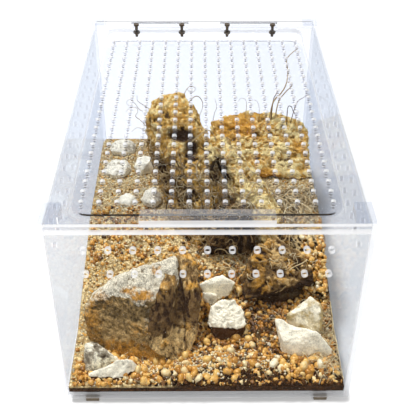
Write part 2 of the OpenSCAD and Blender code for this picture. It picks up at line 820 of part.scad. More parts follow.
module arch_form(grow) {
    y = from_front(arch_place[1]);
    bark_log(
        [from_left(arch_place[0]), y, ground(y) + arch_rise],
        [arch_reach[0], -arch_reach[1], -arch_reach[2]],
        arch_r, grow, 1,
        [[0, 0, 0, 0.6], [0.19, 0.05, 0.05, 0.8], [0.42, 0.19, 0.21, 0.87], [0.6, 0.39, 0.39, 0.93],
         [0.76, 0.61, 0.56, 1], [0.9, 0.83, 0.77, 1], [1, 1, 1, 0.8]]
    );
}

module cork_arch() {
    color([0.74, 0.60, 0.36])
        difference() {
            seated() arch_form(0);
            trunk_form(rest_gap);
        }
}

module stump_form(grow) {
    worn_hull(from_left(stump_place[0]), from_front(stump_place[1]), stump_size, [
        [-0.5, -0.42, -0.12], [-0.36, -0.5, 0.41], [-0.09, -0.27, 0.88], [0.34, -0.19, 1],
        [0.5, -0.42, 0.47], [0.5, -0.5, -0.12], [-0.42, 0.35, -0.12], [0.5, 0.42, -0.12],
        [0.39, 0.5, 0.76], [-0.26, 0.42, 0.82]
    ], boulder_wear, grow);
}

module root_stump() {
    color([0.38, 0.27, 0.14])
        difference() {
            seated() stump_form(0);
            trunk_form(rest_gap);
            arch_form(rest_gap);
            chunk_form(rest_gap);
        }
}

module chunk_form(grow) {
    worn_hull(from_right(chunk_place[0]), from_front(chunk_place[1]), chunk_size, [
        [-0.48, -0.5, 0.18], [-0.42, -0.3, 0.53], [-0.34, 0.11, 0.88], [-0.03, 0.35, 1],
        [0.32, 0.16, 0.76], [0.5, -0.13, 0.5], [0.5, -0.23, 0.35], [-0.46, 0.16, -0.18],
        [0.4, 0.11, -0.18], [-0.34, 0.45, -0.18], [0.28, 0.5, -0.18], [-0.5, 0.06, 0.12]
    ], boulder_wear, grow);
}

module cork_chunk() {
    color([0.50, 0.38, 0.20])
        difference() {
            seated() chunk_form(0);
            arch_form(rest_gap);
            trunk_form(rest_gap);
            split_upper_form(rest_gap);
        }
}

// Ledge along the given corners, which lie in the block's own faces
module block_ledge(corners, grow) {
    worn_hull(from_right(block_place[0]), from_rear(block_place[1]), block_size, corners,
        boulder_wear, grow + ledge_h);
}

module block_form(grow) {
    block_ledge([[-0.4, 0.1, 0.64], [-0.22, 0.1, 0.73], [-0.04, 0.05, 0.72]], grow);
    block_ledge([[0.06, -0.1, 0.53], [0.24, -0.14, 0.44], [0.38, -0.2, 0.38]], grow);
    block_ledge([[-0.34, -0.11, 0.32], [-0.18, -0.23, 0.32]], grow);
    block_ledge([[0.2, 0.11, 0.76], [0.38, 0.11, 0.66]], grow);
    block_ledge([[-0.12, 0.36, 0.72], [0.15, 0.36, 0.72]], grow);
    worn_hull(from_right(block_place[0]), from_rear(block_place[1]), block_size, [
        [-0.5, -0.13, 0.05], [-0.5, 0.17, 0.84], [-0.39, 0.23, 0.86], [-0.14, 0.27, 1],
        [0.15, 0.27, 0.96], [0.43, 0.23, 0.78], [0.5, 0.1, 0.61], [0.5, -0.23, 0.35],
        [0.5, -0.5, -0.05], [0.12, -0.47, 0.1], [-0.14, -0.43, 0.1], [-0.44, 0.47, -0.1],
        [0.48, 0.5, -0.1], [-0.35, -0.33, -0.1], [0.45, 0.43, 0.56], [-0.35, 0.43, 0.51]
    ], boulder_wear, grow);
}

module cork_block() {
    color([0.76, 0.58, 0.30])
        difference() {
            seated() block_form(0);
            trunk_form(rest_gap);
            arch_form(rest_gap);
        }
}

module root_mat() {
    color([0.56, 0.46, 0.28])
        difference() {
            seated() worn_hull(from_right(mat_place[0]), from_rear(mat_place[1]), mat_size, [
                [-0.5, -0.06, 0.22], [-0.36, -0.01, 0.78], [-0.13, 0.32, 1], [0.34, -0.1, 0.89],
                [0.38, 0.35, 0.89], [0.48, -0.35, 0.11], [0.5, -0.25, 0.67], [0.5, 0.5, 0.78],
                [-0.45, 0.48, 0.44], [0.29, -0.43, -0.67], [0.5, -0.5, -0.56], [-0.27, -0.28, -0.44],
                [0.5, -0.37, -1.22], [-0.45, 0.48, -0.33], [0.5, 0.5, -0.33]
            ], boulder_wear);
            arch_form(rest_gap);
            block_form(rest_gap);
            chunk_form(rest_gap);
            stump_form(rest_gap);
            wedge_form(rest_gap);
        }
}

base_panel();
front_panel();
rear_panel();
left_wall();
right_wall();
top_frame();
lid_plate();
lid_locating_plate();
lid_handle();
block_front_left();
block_front_right();
block_rear_left();
block_rear_right();
foot_front_left();
foot_front_right();
foot_rear_left();
foot_rear_right();
hinge_rear_leaf_left();
hinge_rear_leaf_right();
hinge_lid_leaf_left();
hinge_lid_leaf_right();
hinge_pin_left();
hinge_pin_right();
hinge_screws();
hinge_nuts();
soil_layer();
sand_bank();
boulder();
driftwood_slab();
stone_triangle();
stone_long();
stone_split_upper();
stone_split_lower();
stone_chalk();
stone_saddle();
stone_wedge();
stone_rear_corner();
stone_rear_wide();
stone_rear_pale();
stone_mid_flat();
stone_mid_mound();
cork_trunk();
cork_arch();
root_stump();
cork_chunk();
cork_block();
root_mat();
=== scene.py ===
"""Finishes the acrylic reptile enclosure: clear sheets, sand, gravel, stones, cork bark, roots and a plain studio."""

import math
from functools import wraps

import bpy
import numpy as np
from mathutils import Matrix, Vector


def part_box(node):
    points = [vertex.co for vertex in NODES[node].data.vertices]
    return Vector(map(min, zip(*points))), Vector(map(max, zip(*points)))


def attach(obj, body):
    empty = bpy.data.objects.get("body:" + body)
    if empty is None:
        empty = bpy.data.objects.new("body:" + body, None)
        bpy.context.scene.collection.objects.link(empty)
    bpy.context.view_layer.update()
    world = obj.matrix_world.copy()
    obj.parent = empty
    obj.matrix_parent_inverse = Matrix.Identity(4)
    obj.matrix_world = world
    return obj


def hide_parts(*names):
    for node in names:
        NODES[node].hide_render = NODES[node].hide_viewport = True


bl_info = {
    "name": "Reptile Enclosure Finishes",
    "version": (1, 0, 0),
    "blender": (4, 5, 0),
    "location": "View3D > Sidebar > Enclosure",
    "description": "Surfaces, stones, bark, roots and gravel for a clear reptile enclosure",
    "category": "Object",
}

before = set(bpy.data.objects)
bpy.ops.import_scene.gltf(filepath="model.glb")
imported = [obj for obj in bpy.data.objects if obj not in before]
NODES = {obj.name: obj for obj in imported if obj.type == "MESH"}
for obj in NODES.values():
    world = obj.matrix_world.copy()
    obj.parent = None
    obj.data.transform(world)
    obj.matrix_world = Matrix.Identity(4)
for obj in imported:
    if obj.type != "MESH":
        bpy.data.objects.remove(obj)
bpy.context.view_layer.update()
MM = 0.001
FIXED = "enclosure"
# half the inner width and depth of the box, in millimetres
HALF_WIDTH, HALF_DEPTH = 97, 147
# the sheets bend light by an index of almost 1, and a small share of it by plain acrylic's own
THIN_INDEX, ACRYLIC_INDEX, ACRYLIC_SHARE = 1.002, 1.49, 0.002
# a ray's share along a triangle's edge may lie this far outside it, and a shorter run than NEAR met nothing
SLACK, NEAR = 1e-4, 0.5
RAYS_AT_ONCE = 2048
# how far right the roots on a piece may reach, in millimetres
RIGHTMOST = 95.4
# how far a clear face is drawn back, in millimetres
AIR_GAP = 0.02
# odd numbers that mix a cell's three indices and the seed
FACTORS = tuple(np.uint32(number) for number in (374761393, 668265263, 2246822519, 3266489917))


def shade(red, green, blue):
    """A colour of 0 to 255 as the linear values that Blender keeps."""
    parts = [c / 255 for c in (red, green, blue)]
    return tuple(p / 12.92 if p <= 0.04045 else ((p + 0.055) / 1.055) ** 2.4 for p in parts)


def length(name, description, default):
    """A length in metres that shows in the panel."""
    return bpy.props.FloatProperty(
        name=name, description=description, default=default, min=0.0, max=0.1, unit="LENGTH", precision=4
    )


def colour(name, description, default):
    """A colour that shows in the panel."""
    return bpy.props.FloatVectorProperty(
        name=name, description=description, default=default, size=3, min=0, max=1, subtype="COLOR"
    )


class EnclosureSizes(bpy.types.PropertyGroup):
    """Sizes of the natural pieces."""

    sand_ripple: length("Sand ripple", "Height of the sand bed's low waves", 0.0012)
    sand_grain: length("Sand grain", "Width of one loose grain on the sand", 0.0017)
    pebble_small: length("Small pebble", "Width of the smallest pebbles", 0.0026)
    pebble_large: length("Large pebble", "Width of the largest pebbles", 0.0082)
    soil_crumb: length("Soil crumb", "Width of one lump of dark soil", 0.0030)
    stone_wear: length("Stone roughness", "Depth of the hollows on the stones", 0.0012)
    bark_ridge: length("Bark ridge", "Depth of the furrows in the bark", 0.0024)
    root_thick: length("Root thickness", "Thickness of the main roots", 0.0019)
    fibre_thick: length("Fibre thickness", "Thickness of the hair roots", 0.0006)


class EnclosureColours(bpy.types.PropertyGroup):
    """Colours of all the finishes."""

    sheet_tint: colour("Sheet tint", "Tint of the clear walls", (0.965, 0.97, 0.98))
    wall_tint: colour("Side wall tint", "Tint of the clear side walls", (0.63, 0.66, 0.7))
    lid_tint: colour("Lid tint", "Tint of the clear lid", (0.82, 0.84, 0.885))
    foot: colour("Foot pad", "Rubber of the foot pads", shade(122, 108, 88))
    fixing: colour("Screws", "Darkened steel of the screws", shade(96, 84, 70))
    pin: colour("Hinge pin", "Plain steel of the hinge pins", shade(190, 192, 194))
    soil: colour("Soil", "Dark soil under the sand", shade(64, 40, 17))
    sand: colour("Sand", "Main tone of the sand", shade(222, 202, 152))
    sand_dark: colour("Dark sand", "Shaded grains in the sand", shade(158, 130, 84))
    amber: colour("Amber pebble", "Main tone of the gravel", shade(206, 152, 66))
    face: colour("Stone face", "Dark split face of the large stone", shade(172, 142, 92))
    crust: colour("Stone crust", "Pale crust of the large stone", shade(228, 220, 198))
    rust: colour("Rust stain", "Orange stain on the stones", shade(202, 146, 62))
    limestone: colour("Limestone", "Main tone of the pale stones", shade(254, 247, 224))
    limestone_dark: colour("Dark limestone", "Shaded faces of the pale stones", shade(192, 170, 118))
    grey_stone: colour("Grey stone", "Grey parts of the speckled stones", shade(170, 158, 134))
    # darkened, this brown is also the painted shade in the pale stones' hollows and on the wedge's right side
    underside: colour("Stone underside", "Brown foot of the pale stones", shade(72, 43, 15))
    cork: colour("Cork", "Main tone of the cork bark", shade(216, 169, 82))
    cork_pale: colour("Pale cork", "Raised ridges of the cork bark", shade(252, 227, 158))
    # cork_dark is also the painted shade in the cork bark's furrows and hollows
    cork_dark: colour("Dark cork", "Furrows of the cork bark", shade(60, 38, 16))
    cork_orange: colour("Orange cork", "Fresh golden patches of the cork", shade(226, 166, 66))
    wood: colour("Driftwood", "Main tone of the driftwood", shade(134, 104, 62))
    wood_pale: colour("Pale driftwood", "Light grain of the driftwood", shade(213, 180, 122))
    # wood_dark is also the painted shade in the furrows of the driftwood, the fallen bark and the root masses
    wood_dark: colour("Dark driftwood", "Furrows of the driftwood", shade(52, 33, 15))
    root: colour("Root", "Main roots", shade(198, 172, 122))
    fibre: colour("Hair root", "Fine hair roots", shade(226, 212, 174))


def sizes():
    """The sizes in millimetres."""
    owner = bpy.context.scene.enclosure_sizes
    return {key: getattr(owner, key) / MM for key in EnclosureSizes.__annotations__}


def colours():
    """The colours with their alpha."""
    owner = bpy.context.scene.enclosure_colours
    return {key: (*getattr(owner, key), 1.0) for key in EnclosureColours.__annotations__}


def cell_value(cells, seed):
    """A repeatable number from -1 to 1 for each whole-number cell: its three indices are multiplied and mixed."""
    x, y, z = (cells[..., axis].astype(np.int64).astype(np.uint32) for axis in range(3))
    mixed = x * FACTORS[0] ^ y * FACTORS[1] ^ z * FACTORS[2]
    mixed = mixed ^ np.uint32((seed * int(FACTORS[3])) & 0xFFFFFFFF)
    for shift, factor in ((15, FACTORS[2]), (13, FACTORS[3])):
        mixed = (mixed ^ (mixed >> np.uint32(shift))) * factor
    half_range = (2**32 - 1) / 2
    return (mixed ^ (mixed >> np.uint32(16))) / half_range - 1.0


def field(points, cell, seed):
    """Smooth random height: each point blends the values at the eight corners of its cell, by a curve that is flat
    at both ends."""
    above_zero = 512.0
    spot = points / np.asarray(cell, float) + above_zero
    low = np.floor(spot)
    part = spot - low
    part = part**3 * (part * (part * 6 - 15) + 10)
    total = np.zeros(points.shape[:-1])
    for corner in range(8):
        step = np.array([corner & 1, corner >> 1 & 1, corner >> 2])
        total += np.where(step, part, 1 - part).prod(-1) * cell_value(low + step, seed)
    return total


def layered(points, cell, seed, layers, gain=0.5):
    """Sum of smooth heights, each with half the cell of the last and gain times its height, brought back to about
    -1 to 1."""
    total, height, highest = 0.0, 1.0, 0.0
    for layer in range(layers):
        total = total + height * field(points, np.asarray(cell, float) / 2**layer, seed + 17 * layer)
        highest += height
        height *= gain
    return total / highest * 1.6


def unit(values):
    """Values held between 0 and 1."""
    return np.clip(values, 0, 1)


def ridged(points, cell, seed, layers):
    """Sharp crests from 0 to 1: one less the size of the layered height."""
    return 1 - unit(np.abs(layered(points, cell, seed, layers)) * 1.8)


def step_up(value, low, high):
    """0 below low, 1 above high, and a smooth S between."""
    part = unit((value - low) / (high - low))
    return part * part * (3 - 2 * part)


def patch(points, centre, half, seed, edge=0.35):
    """1 inside an ellipsoid about centre and 0 outside; a layered height added to the distance frays its edge."""
    away = np.linalg.norm((points - np.array(centre)) / np.array(half), axis=-1)
    away = away + 0.4 * layered(points, 9.0, seed, 5, 0.7)
    return 1 - step_up(away, 1 - edge, 1 + edge)


def spots(points, *rows):
    """The strongest of several patches at each point, each row being a share and what patch asks for."""
    return np.maximum.reduce([share * patch(points, *spot) for share, *spot in rows])


def at(x, y, z=0.0):
    """Places with these coordinates."""
    return np.stack(np.broadcast_arrays(x, y, z), -1)


def normed(ways):
    """Directions brought to length 1."""
    return ways / (np.linalg.norm(ways, axis=-1, keepdims=True) + 1e-12)


def raised(grid, normal, height):
    """Points moved along their normals by height millimetres."""
    return grid + normal * height[..., None]


def triangles_of(node):
    """The node's triangles in millimetres, as an array of corners."""
    mesh = NODES[node].data
    mesh.calc_loop_triangles()
    corners = np.empty(len(mesh.vertices) * 3)
    mesh.vertices.foreach_get("co", corners)
    index = np.empty(len(mesh.loop_triangles) * 3, np.int32)
    mesh.loop_triangles.foreach_get("vertices", index)
    return corners.reshape(-1, 3)[index.reshape(-1, 3)] / MM


def reach(starts, ways, triangles):
    """How far each ray runs to the outermost triangle it crosses. It crosses one where its two shares along that
    triangle's edges lie in it."""
    starts, ways = np.broadcast_arrays(starts, ways)
    shape = ways.shape[:-1]
    starts, ways = starts.reshape(-1, 3), ways.reshape(-1, 3)
    first = triangles[:, 0]
    edge_a, edge_b = triangles[:, 1] - first, triangles[:, 2] - first
    far = np.zeros(len(ways))
    for low in range(0, len(ways), RAYS_AT_ONCE):
        batch = slice(low, low + RAYS_AT_ONCE)
        way = ways[batch, None, :]
        side = np.cross(way, edge_b)
        size = (side * edge_a).sum(-1)
        size = np.where(np.abs(size) < 1e-9, 1e-9, size)
        lead = starts[batch, None, :] - first
        share_a = (lead * side).sum(-1) / size
        turn = np.cross(lead, edge_a)
        share_b = (way * turn).sum(-1) / size
        run = (edge_b * turn).sum(-1) / size
        inside = (share_a >= -SLACK) & (share_b >= -SLACK) & (share_a + share_b <= 1 + 2 * SLACK)
        far[batch] = np.where(inside & (run > 0), run, 0).max(1)
    return far.reshape(shape)


def eased(values, passes=1):
    """Each value moved towards the mean of its neighbours on the grid, passes times; rows stop at the ends and
    columns wrap."""
    for _ in range(passes):
        values = 0.5 * values + 0.25 * (np.roll(values, 1, 1) + np.roll(values, -1, 1))
        padded = np.concatenate([values[:1], values, values[-1:]])
        values = 0.5 * values + 0.25 * (padded[:-2] + padded[2:])
    return values


def angles(count):
    """Equal steps round a circle."""
    return np.arange(count) / count * 2 * np.pi


def round_grid(node, rows, columns):
    """A closed stone. For latitude v and longitude u the point lies at centre + r(u, v) * direction, r being the
    eased reach to the node's outermost face. Directions are stretched by the node's half sizes, so that a flat
    stone is covered evenly."""
    solid = triangles_of(node)
    low, high = solid.reshape(-1, 3).min(0), solid.reshape(-1, 3).max(0)
    centre = (low + high) / 2
    v = (np.arange(rows) + 0.5) / rows * np.pi - np.pi / 2
    v, u = np.meshgrid(v, angles(columns), indexing="ij")
    ways = normed(at(np.cos(v) * np.cos(u), np.cos(v) * np.sin(u), np.sin(v)) * (high - low) / 2)
    far = reach(centre, ways, solid)
    far = np.where(far < NEAR, np.median(far[far >= NEAR]), far)
    return raised(centre, ways, eased(far))


def log_grid(node, start, end, rows, columns, bow=(0, 0, 0)):
    """A closed log. Stations run from start to end with a sideways bow of sin(pi * s), and at each angle u the radius
    is the eased reach to the node's outermost face. At each end, rings close the log to its axis."""
    start, end = np.array(start, float), np.array(end, float)
    along = normed(end - start)
    side = normed(np.cross(along, [0.0, 0.0, 1.0] if abs(along[2]) < 0.8 else [0.0, -1.0, 0.0]))
    up = np.cross(side, along)
    s = np.linspace(0, 1, rows)[:, None, None]
    u = angles(columns)[None, :, None]
    axis = start + (end - start) * s + np.array(bow, float) * np.sin(np.pi * s)
    ways, axis = np.broadcast_arrays(side * np.cos(u) + up * np.sin(u), axis)
    far = reach(axis, ways, triangles_of(node))
    # a ray that meets nothing takes the mean of its own ring, and an empty ring the mean of all
    met = far > NEAR
    ring = np.where(met, far, 0).sum(1) / np.maximum(met.sum(1), 1)
    ring = np.where(ring > 0, ring, ring[ring > 0].mean())
    far = eased(np.where(met, far, ring[:, None]))
    body = raised(axis, ways, far)
    cap_rings = 8
    share = np.sin(np.linspace(0.08, 1, cap_rings, endpoint=False) * np.pi / 2)[:, None, None]
    bulge = 0.12 * (1 - share**2) * far.mean() * along
    foot = axis[0] + (body[0] - axis[0]) * share - bulge
    head = (axis[-1] + (body[-1] - axis[-1]) * share + bulge)[::-1]
    return np.concatenate([foot, body, head])


def facing(grid):
    """Outward unit normals of a closed grid: the cross product of its steps along rows and columns."""
    along = np.roll(grid, -1, 1) - np.roll(grid, 1, 1)
    padded = np.concatenate([grid[:1], grid, grid[-1:]])
    up = padded[2:] - padded[:-2]
    normal = normed(np.cross(along, up))
    outward = ((grid - grid.mean((0, 1))) * normal).sum() > 0
    return normal if outward else -normal


def placed(name, data):
    """A new object of that data, put into the scene."""
    made = bpy.data.objects.new(name, data)
    bpy.context.scene.collection.objects.link(made)
    return made


def build(name, points, faces, marks, material, nodes=()):
    """Puts points in millimetres, faces as arrays of corner numbers and named values per point into a mesh, turns it
    outward by the sign of its volume, and hands it to the frame."""
    points = np.asarray(points, float).reshape(-1, 3)
    volume = 0.0
    for block in faces:
        for corner in range(1, block.shape[1] - 1):
            a, b, c = points[block[:, 0]], points[block[:, corner]], points[block[:, corner + 1]]
            volume += (a * np.cross(b, c)).sum()
    faces = [block[:, ::-1] if volume < 0 else block for block in faces]
    mesh = bpy.data.meshes.new(name)
    mesh.vertices.add(len(points))
    mesh.vertices.foreach_set("co", (points * MM).astype(np.float32).ravel())
    counts = np.concatenate([np.full(len(block), block.shape[1]) for block in faces])
    corners = np.concatenate([block.ravel() for block in faces])
    mesh.loops.add(len(corners))
    mesh.loops.foreach_set("vertex_index", corners.astype(np.int32))
    mesh.polygons.add(len(counts))
    mesh.polygons.foreach_set("loop_start", (np.cumsum(counts) - counts).astype(np.int32))
    mesh.polygons.foreach_set("loop_total", counts.astype(np.int32))
    mesh.polygons.foreach_set("use_smooth", np.full(len(counts), True))
    mesh.update(calc_edges=True)
    for key, values in marks.items():
        layer = mesh.attributes.new(key, "FLOAT", "POINT")
        layer.data.foreach_set("value", np.asarray(values, np.float32).ravel())
    mesh.materials.append(material)
    made = placed(name, mesh)
    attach(made, FIXED)
    if nodes:
        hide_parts(*nodes)


def closed_faces(rows, columns):
    """Faces of a grid whose columns wrap and whose ends close in fans on two more points, which follow the grid's
    own."""
    row, column = np.meshgrid(np.arange(rows - 1), np.arange(columns), indexing="ij")
    here, there = row * columns + column, row * columns + (column + 1) % columns
    quads = np.stack([here, there, there + columns, here + columns], -1).reshape(-1, 4)
    ring = np.arange(columns)
    low = np.stack([np.full(columns, rows * columns), (ring + 1) % columns, ring], -1)
    last = (rows - 1) * columns
    high = np.stack([np.full(columns, rows * columns + 1), last + ring, last + (ring + 1) % columns], -1)
    return [quads, np.concatenate([low, high])]


def wrap_form(name, grid, pale, stain, cavity, material, slot, *nodes):
    """A closed grid as a piece; its two end points are the means of its first and last rings."""
    points = np.concatenate([grid.reshape(-1, 3), grid[:1].mean(1), grid[-1:].mean(1)])
    marks = {
        key: np.concatenate([value.ravel(), [value[0].mean()], [value[-1].mean()]])
        for key, value in (("pale", pale), ("stain", stain), ("cavity", cavity))
    }
    build(name, points, closed_faces(*grid.shape[:2]), marks, material, nodes)


def tubes(name, paths, widths, tints, sides=6, tip=0.5):
    """Many round roots in one mesh, each as wide as its width at the foot and tip times that at its end. A ring of
    points is carried along each path, its axes turned from station to station so that they stay square to it."""
    stems, stations = paths.shape[:2]
    radii = widths[:, None] / 2 * np.linspace(1, tip, stations)[None]
    way = normed(np.gradient(paths, axis=1))
    helper = np.where(np.abs(way[:, :1, 2:3]) < 0.8, [0.0, 0.0, 1.0], [1.0, 0.0, 0.0])
    side = np.empty_like(paths)
    side[:, 0] = np.cross(way[:, 0], helper[:, 0])
    for station in range(stations):
        previous = side[:, max(station - 1, 0)]
        square = previous - (previous * way[:, station]).sum(-1, keepdims=True) * way[:, station]
        side[:, station] = normed(square)
    up = np.cross(way, side)
    u = angles(sides)[:, None]
    rings = paths[:, :, None] + radii[:, :, None, None] * (side[:, :, None] * np.cos(u) + up[:, :, None] * np.sin(u))
    each = stations * sides + 2
    points = np.concatenate([rings.reshape(stems, -1, 3), paths[:, :1], paths[:, -1:]], 1)
    offset = (np.arange(stems) * each)[:, None, None]
    faces = [(block + offset).reshape(-1, block.shape[1]) for block in closed_faces(stations, sides)]
    build(name, points, faces, {"tint": np.repeat(tints, each)}, root_material())


def grown(name, paths, thick, widths, tints, limits, random, sides=6):
    """Roots along these paths, each thick times a random share wide, and of a random tint held between two limits."""
    width = thick * random.uniform(*widths, len(paths))
    tubes(name, paths, width, np.clip(random.normal(*tints, len(paths)), *limits), sides)


def pebble_form(cuts):
    """The points of a cube's surface grid, cuts squares along each side, pushed out to a unit ball, and their square
    faces."""
    count = cuts + 1
    cells = np.stack(np.meshgrid(*[np.arange(count)] * 3, indexing="ij"), -1).reshape(-1, 3)
    skin = ((cells == 0) | (cells == cuts)).any(1)
    number = np.full(count**3, -1)
    number[skin] = np.arange(skin.sum())
    number = number.reshape(count, count, count)
    squares = []
    for axis in range(3):
        for level, turn in ((0, 1), (cuts, -1)):
            sheet = np.take(number, level, axis=axis)
            square = np.stack([sheet[:-1, :-1], sheet[1:, :-1], sheet[1:, 1:], sheet[:-1, 1:]], -1).reshape(-1, 4)
            squares.append(square[:, ::turn] if axis != 1 else square[:, ::-turn])
    points = np.tan((cells[skin] / cuts - 0.5) * np.pi / 2)
    return points / np.linalg.norm(points, axis=1, keepdims=True), np.concatenate(squares)[:, ::-1]


def turns(count, random):
    """Random rotations as matrices, from unit quaternions."""
    spin = random.normal(size=(4, count))
    w, x, y, z = spin / np.linalg.norm(spin, axis=0)
    rows = (
        (1 - 2 * (y * y + z * z), 2 * (x * y - w * z), 2 * (x * z + w * y)),
        (2 * (x * y + w * z), 1 - 2 * (x * x + z * z), 2 * (y * z - w * x)),
        (2 * (x * z - w * y), 2 * (y * z + w * x), 1 - 2 * (x * x + y * y)),
    )
    return np.stack([at(*row) for row in rows], 1)


def hold_inside(points, gap):
    """Moves points into the box, at least gap millimetres from its walls."""
    for axis, half in enumerate((HALF_WIDTH, HALF_DEPTH)):
        points[..., axis] = np.clip(points[..., axis], gap - half, half - gap)


def loose_pieces(name, places, widths, tints, material, seed, cuts=2, flatness=0.7, chips=0.16):
    """Many pebbles in one mesh: the unit ball's points are moved in and out at random, stretched to three widths,
    turned and carried to their places, inside the box."""
    random = np.random.default_rng(seed)
    ball, squares = pebble_form(cuts)
    count = len(places)
    across = random.uniform(0.72, 1, count)
    shape = at(1.0, across, random.uniform(flatness - 0.12, flatness + 0.16, count))
    lumps = 1 + chips * random.uniform(-1, 1, (count, len(ball), 1))
    points = ball * lumps * shape[:, None] * widths[:, None, None] / 2
    points = np.einsum("nij,npj->npi", turns(count, random), points) + places[:, None]
    hold_inside(points, 0.4)
    faces = [(squares + (np.arange(count) * len(ball))[:, None, None]).reshape(-1, 4)]
    build(name, points, faces, {"tint": np.repeat(tints, len(ball))}, material)


# the slope of the bed: depth and height at each of its breaks, in millimetres
GROUND = ((-147, -95, 10, 123, 147), (11.5, 13.5, 41.5, 44.5, 34.5))

# low drifts of the bed: distances from the left wall and the front panel in millimetres, and share of the full size
DRIFTS = (
    (88, 10, 0.7), (111, 23, 1), (135, 25, 0.85), (161, 12, 0.8), (183, 11, 0.75), (137, 53, 0.75),
    (87, 106, 0.85), (111, 105, 0.7), (60, 111, 0.75), (19, 117, 1), (37, 137, 0.9), (14, 151, 0.9),
    (14, 193, 0.7), (64, 239, 0.85), (47, 263, 0.9), (77, 265, 0.9), (119, 285, 0.6), (157, 285, 0.6),
)
DRIFT_RADIUS, DRIFT_HEIGHT = 13, 3.6


def ground(y):
    """Height of the slope at depth y, straight between its breaks."""
    return np.interp(y, *GROUND)


def bed(x, y):
    """The sand's height: the slope, its low drifts, waves that fade at the walls, and finer lumps."""
    fade = step_up(HALF_WIDTH - np.abs(x), 0, 8) * step_up(HALF_DEPTH - np.abs(y), 0, 8)
    drift = np.zeros_like(x)
    for left, front, share in DRIFTS:
        away = np.hypot(x + HALF_WIDTH - left, y + HALF_DEPTH - front) / (DRIFT_RADIUS * share)
        drift = np.maximum(drift, DRIFT_HEIGHT * share * np.interp(away, [0.24, 0.62, 1.0], [1, 0.75, 0]))
    waves = sizes()["sand_ripple"] * (layered(at(x, y), 22, 3, 3) - 0.35)
    return ground(y) + drift + fade * waves + 0.35 * layered(at(x, y), 3.6, 9, 3)


class Graph:
    """Adds shader nodes to one tree and joins them."""

    def __init__(self, tree):
        self.tree = tree

    def add(self, kind, into=None, **settings):
        """One node with its settings; each input is another node's output or a plain value."""
        made = self.tree.nodes.new("ShaderNode" + kind)
        for key, value in settings.items():
            setattr(made, key, value)
        for key, value in (into or {}).items():
            if isinstance(value, bpy.types.NodeSocket):
                self.tree.links.new(value, made.inputs[key])
            else:
                made.inputs[key].default_value = value
        return made

    def effect(self, tree, values):
        """The outputs of a shared effect, placed with its own values."""
        return self.add("Group", values, node_tree=tree).outputs

    def shader(self, kind, into):
        """The output of one shader."""
        return self.add(kind, into).outputs[0]

    def surface(self, tone, rough, height, strength, depth, shine=0.5, metal=0.0):
        """The Principled shader, its normal standing up with the height by up to depth millimetres."""
        bump = self.add("Bump", {"Height": height, "Strength": strength, "Distance": depth * MM})
        values = {"Base Color": tone, "Roughness": rough, "Metallic": metal, "Specular IOR Level": shine}
        return self.shader("BsdfPrincipled", {**values, "Normal": bump.outputs[0]})

    def blend(self, share, a, b):
        """Shader a turned into shader b by share."""
        return self.shader("MixShader", {0: share, 1: a, 2: b})

    def place(self):
        """The point on the piece, in the frame's metres."""
        return self.add("TexCoord").outputs["Object"]

    def mark(self, name):
        """The value kept on the piece under that name."""
        return self.add("Attribute", attribute_name=name).outputs["Fac"]

    def noise(self, vector, scale, detail=4.0, rough=0.55):
        """Cloudy values from 0 to 1."""
        settings = {"Vector": vector, "Scale": scale, "Detail": detail, "Roughness": rough}
        return self.add("TexNoise", settings).outputs["Fac"]

    def sum(self, kind, a, b=0.5, c=0.5):
        """One step of arithmetic."""
        return self.add("Math", {0: a, 1: b, 2: c}, operation=kind).outputs[0]

    def times(self, a, *others):
        """The product of several values."""
        for other in others:
            a = self.sum("MULTIPLY", a, other)
        return a

    def between(self, value, low, high, to_low=0.0, to_high=1.0):
        """value from low to high, spread smoothly to another range."""
        into = {"Value": value, "From Min": low, "From Max": high, "To Min": to_low, "To Max": to_high}
        return self.add("MapRange", into, interpolation_type="SMOOTHSTEP").outputs[0]

    def mix(self, share, a, b, kind="MIX"):
        """Colour a turned into colour b by share."""
        return self.add("Mix", {0: share, 6: a, 7: b}, data_type="RGBA", blend_type=kind).outputs[2]

    def stretch(self, vector, scale, turn=(0, 0, 0)):
        """The pattern's own stretched and turned coordinates."""
        into = {"Vector": vector, "Scale": scale, "Rotation": turn}
        return self.add("Mapping", into, vector_type="TEXTURE").outputs[0]

    def ramp(self, value, stops):
        """Colour read from a strip of stops."""
        made = self.add("ValToRGB", {"Fac": value})
        strip = made.color_ramp.elements
        while len(strip) < len(stops):
            strip.new(0.5)
        for element, (position, tone) in zip(strip, stops):
            element.position = position
            element.color = tone
        return made.outputs["Color"]


def group(name, inputs, outputs, fill):
    """A shared effect, made once by fill(graph, inputs). Each input or output is named with its kind of socket, and
    an input of kind Float with its usual value instead."""
    if name in bpy.data.node_groups:
        return bpy.data.node_groups[name]
    tree = bpy.data.node_groups.new(name, "ShaderNodeTree")
    for side, sockets in (("INPUT", inputs), ("OUTPUT", outputs)):
        for label, given in sockets.items():
            kind = given if isinstance(given, str) else "Float"
            socket = tree.interface.new_socket(name=label, in_out=side, socket_type="NodeSocket" + kind)
            if kind != given:
                socket.default_value = given
    entry = tree.nodes.new("NodeGroupInput")
    leave = tree.nodes.new("NodeGroupOutput")
    for label, value in fill(Graph(tree), entry.outputs).items():
        tree.links.new(value, leave.inputs[label])
    return tree


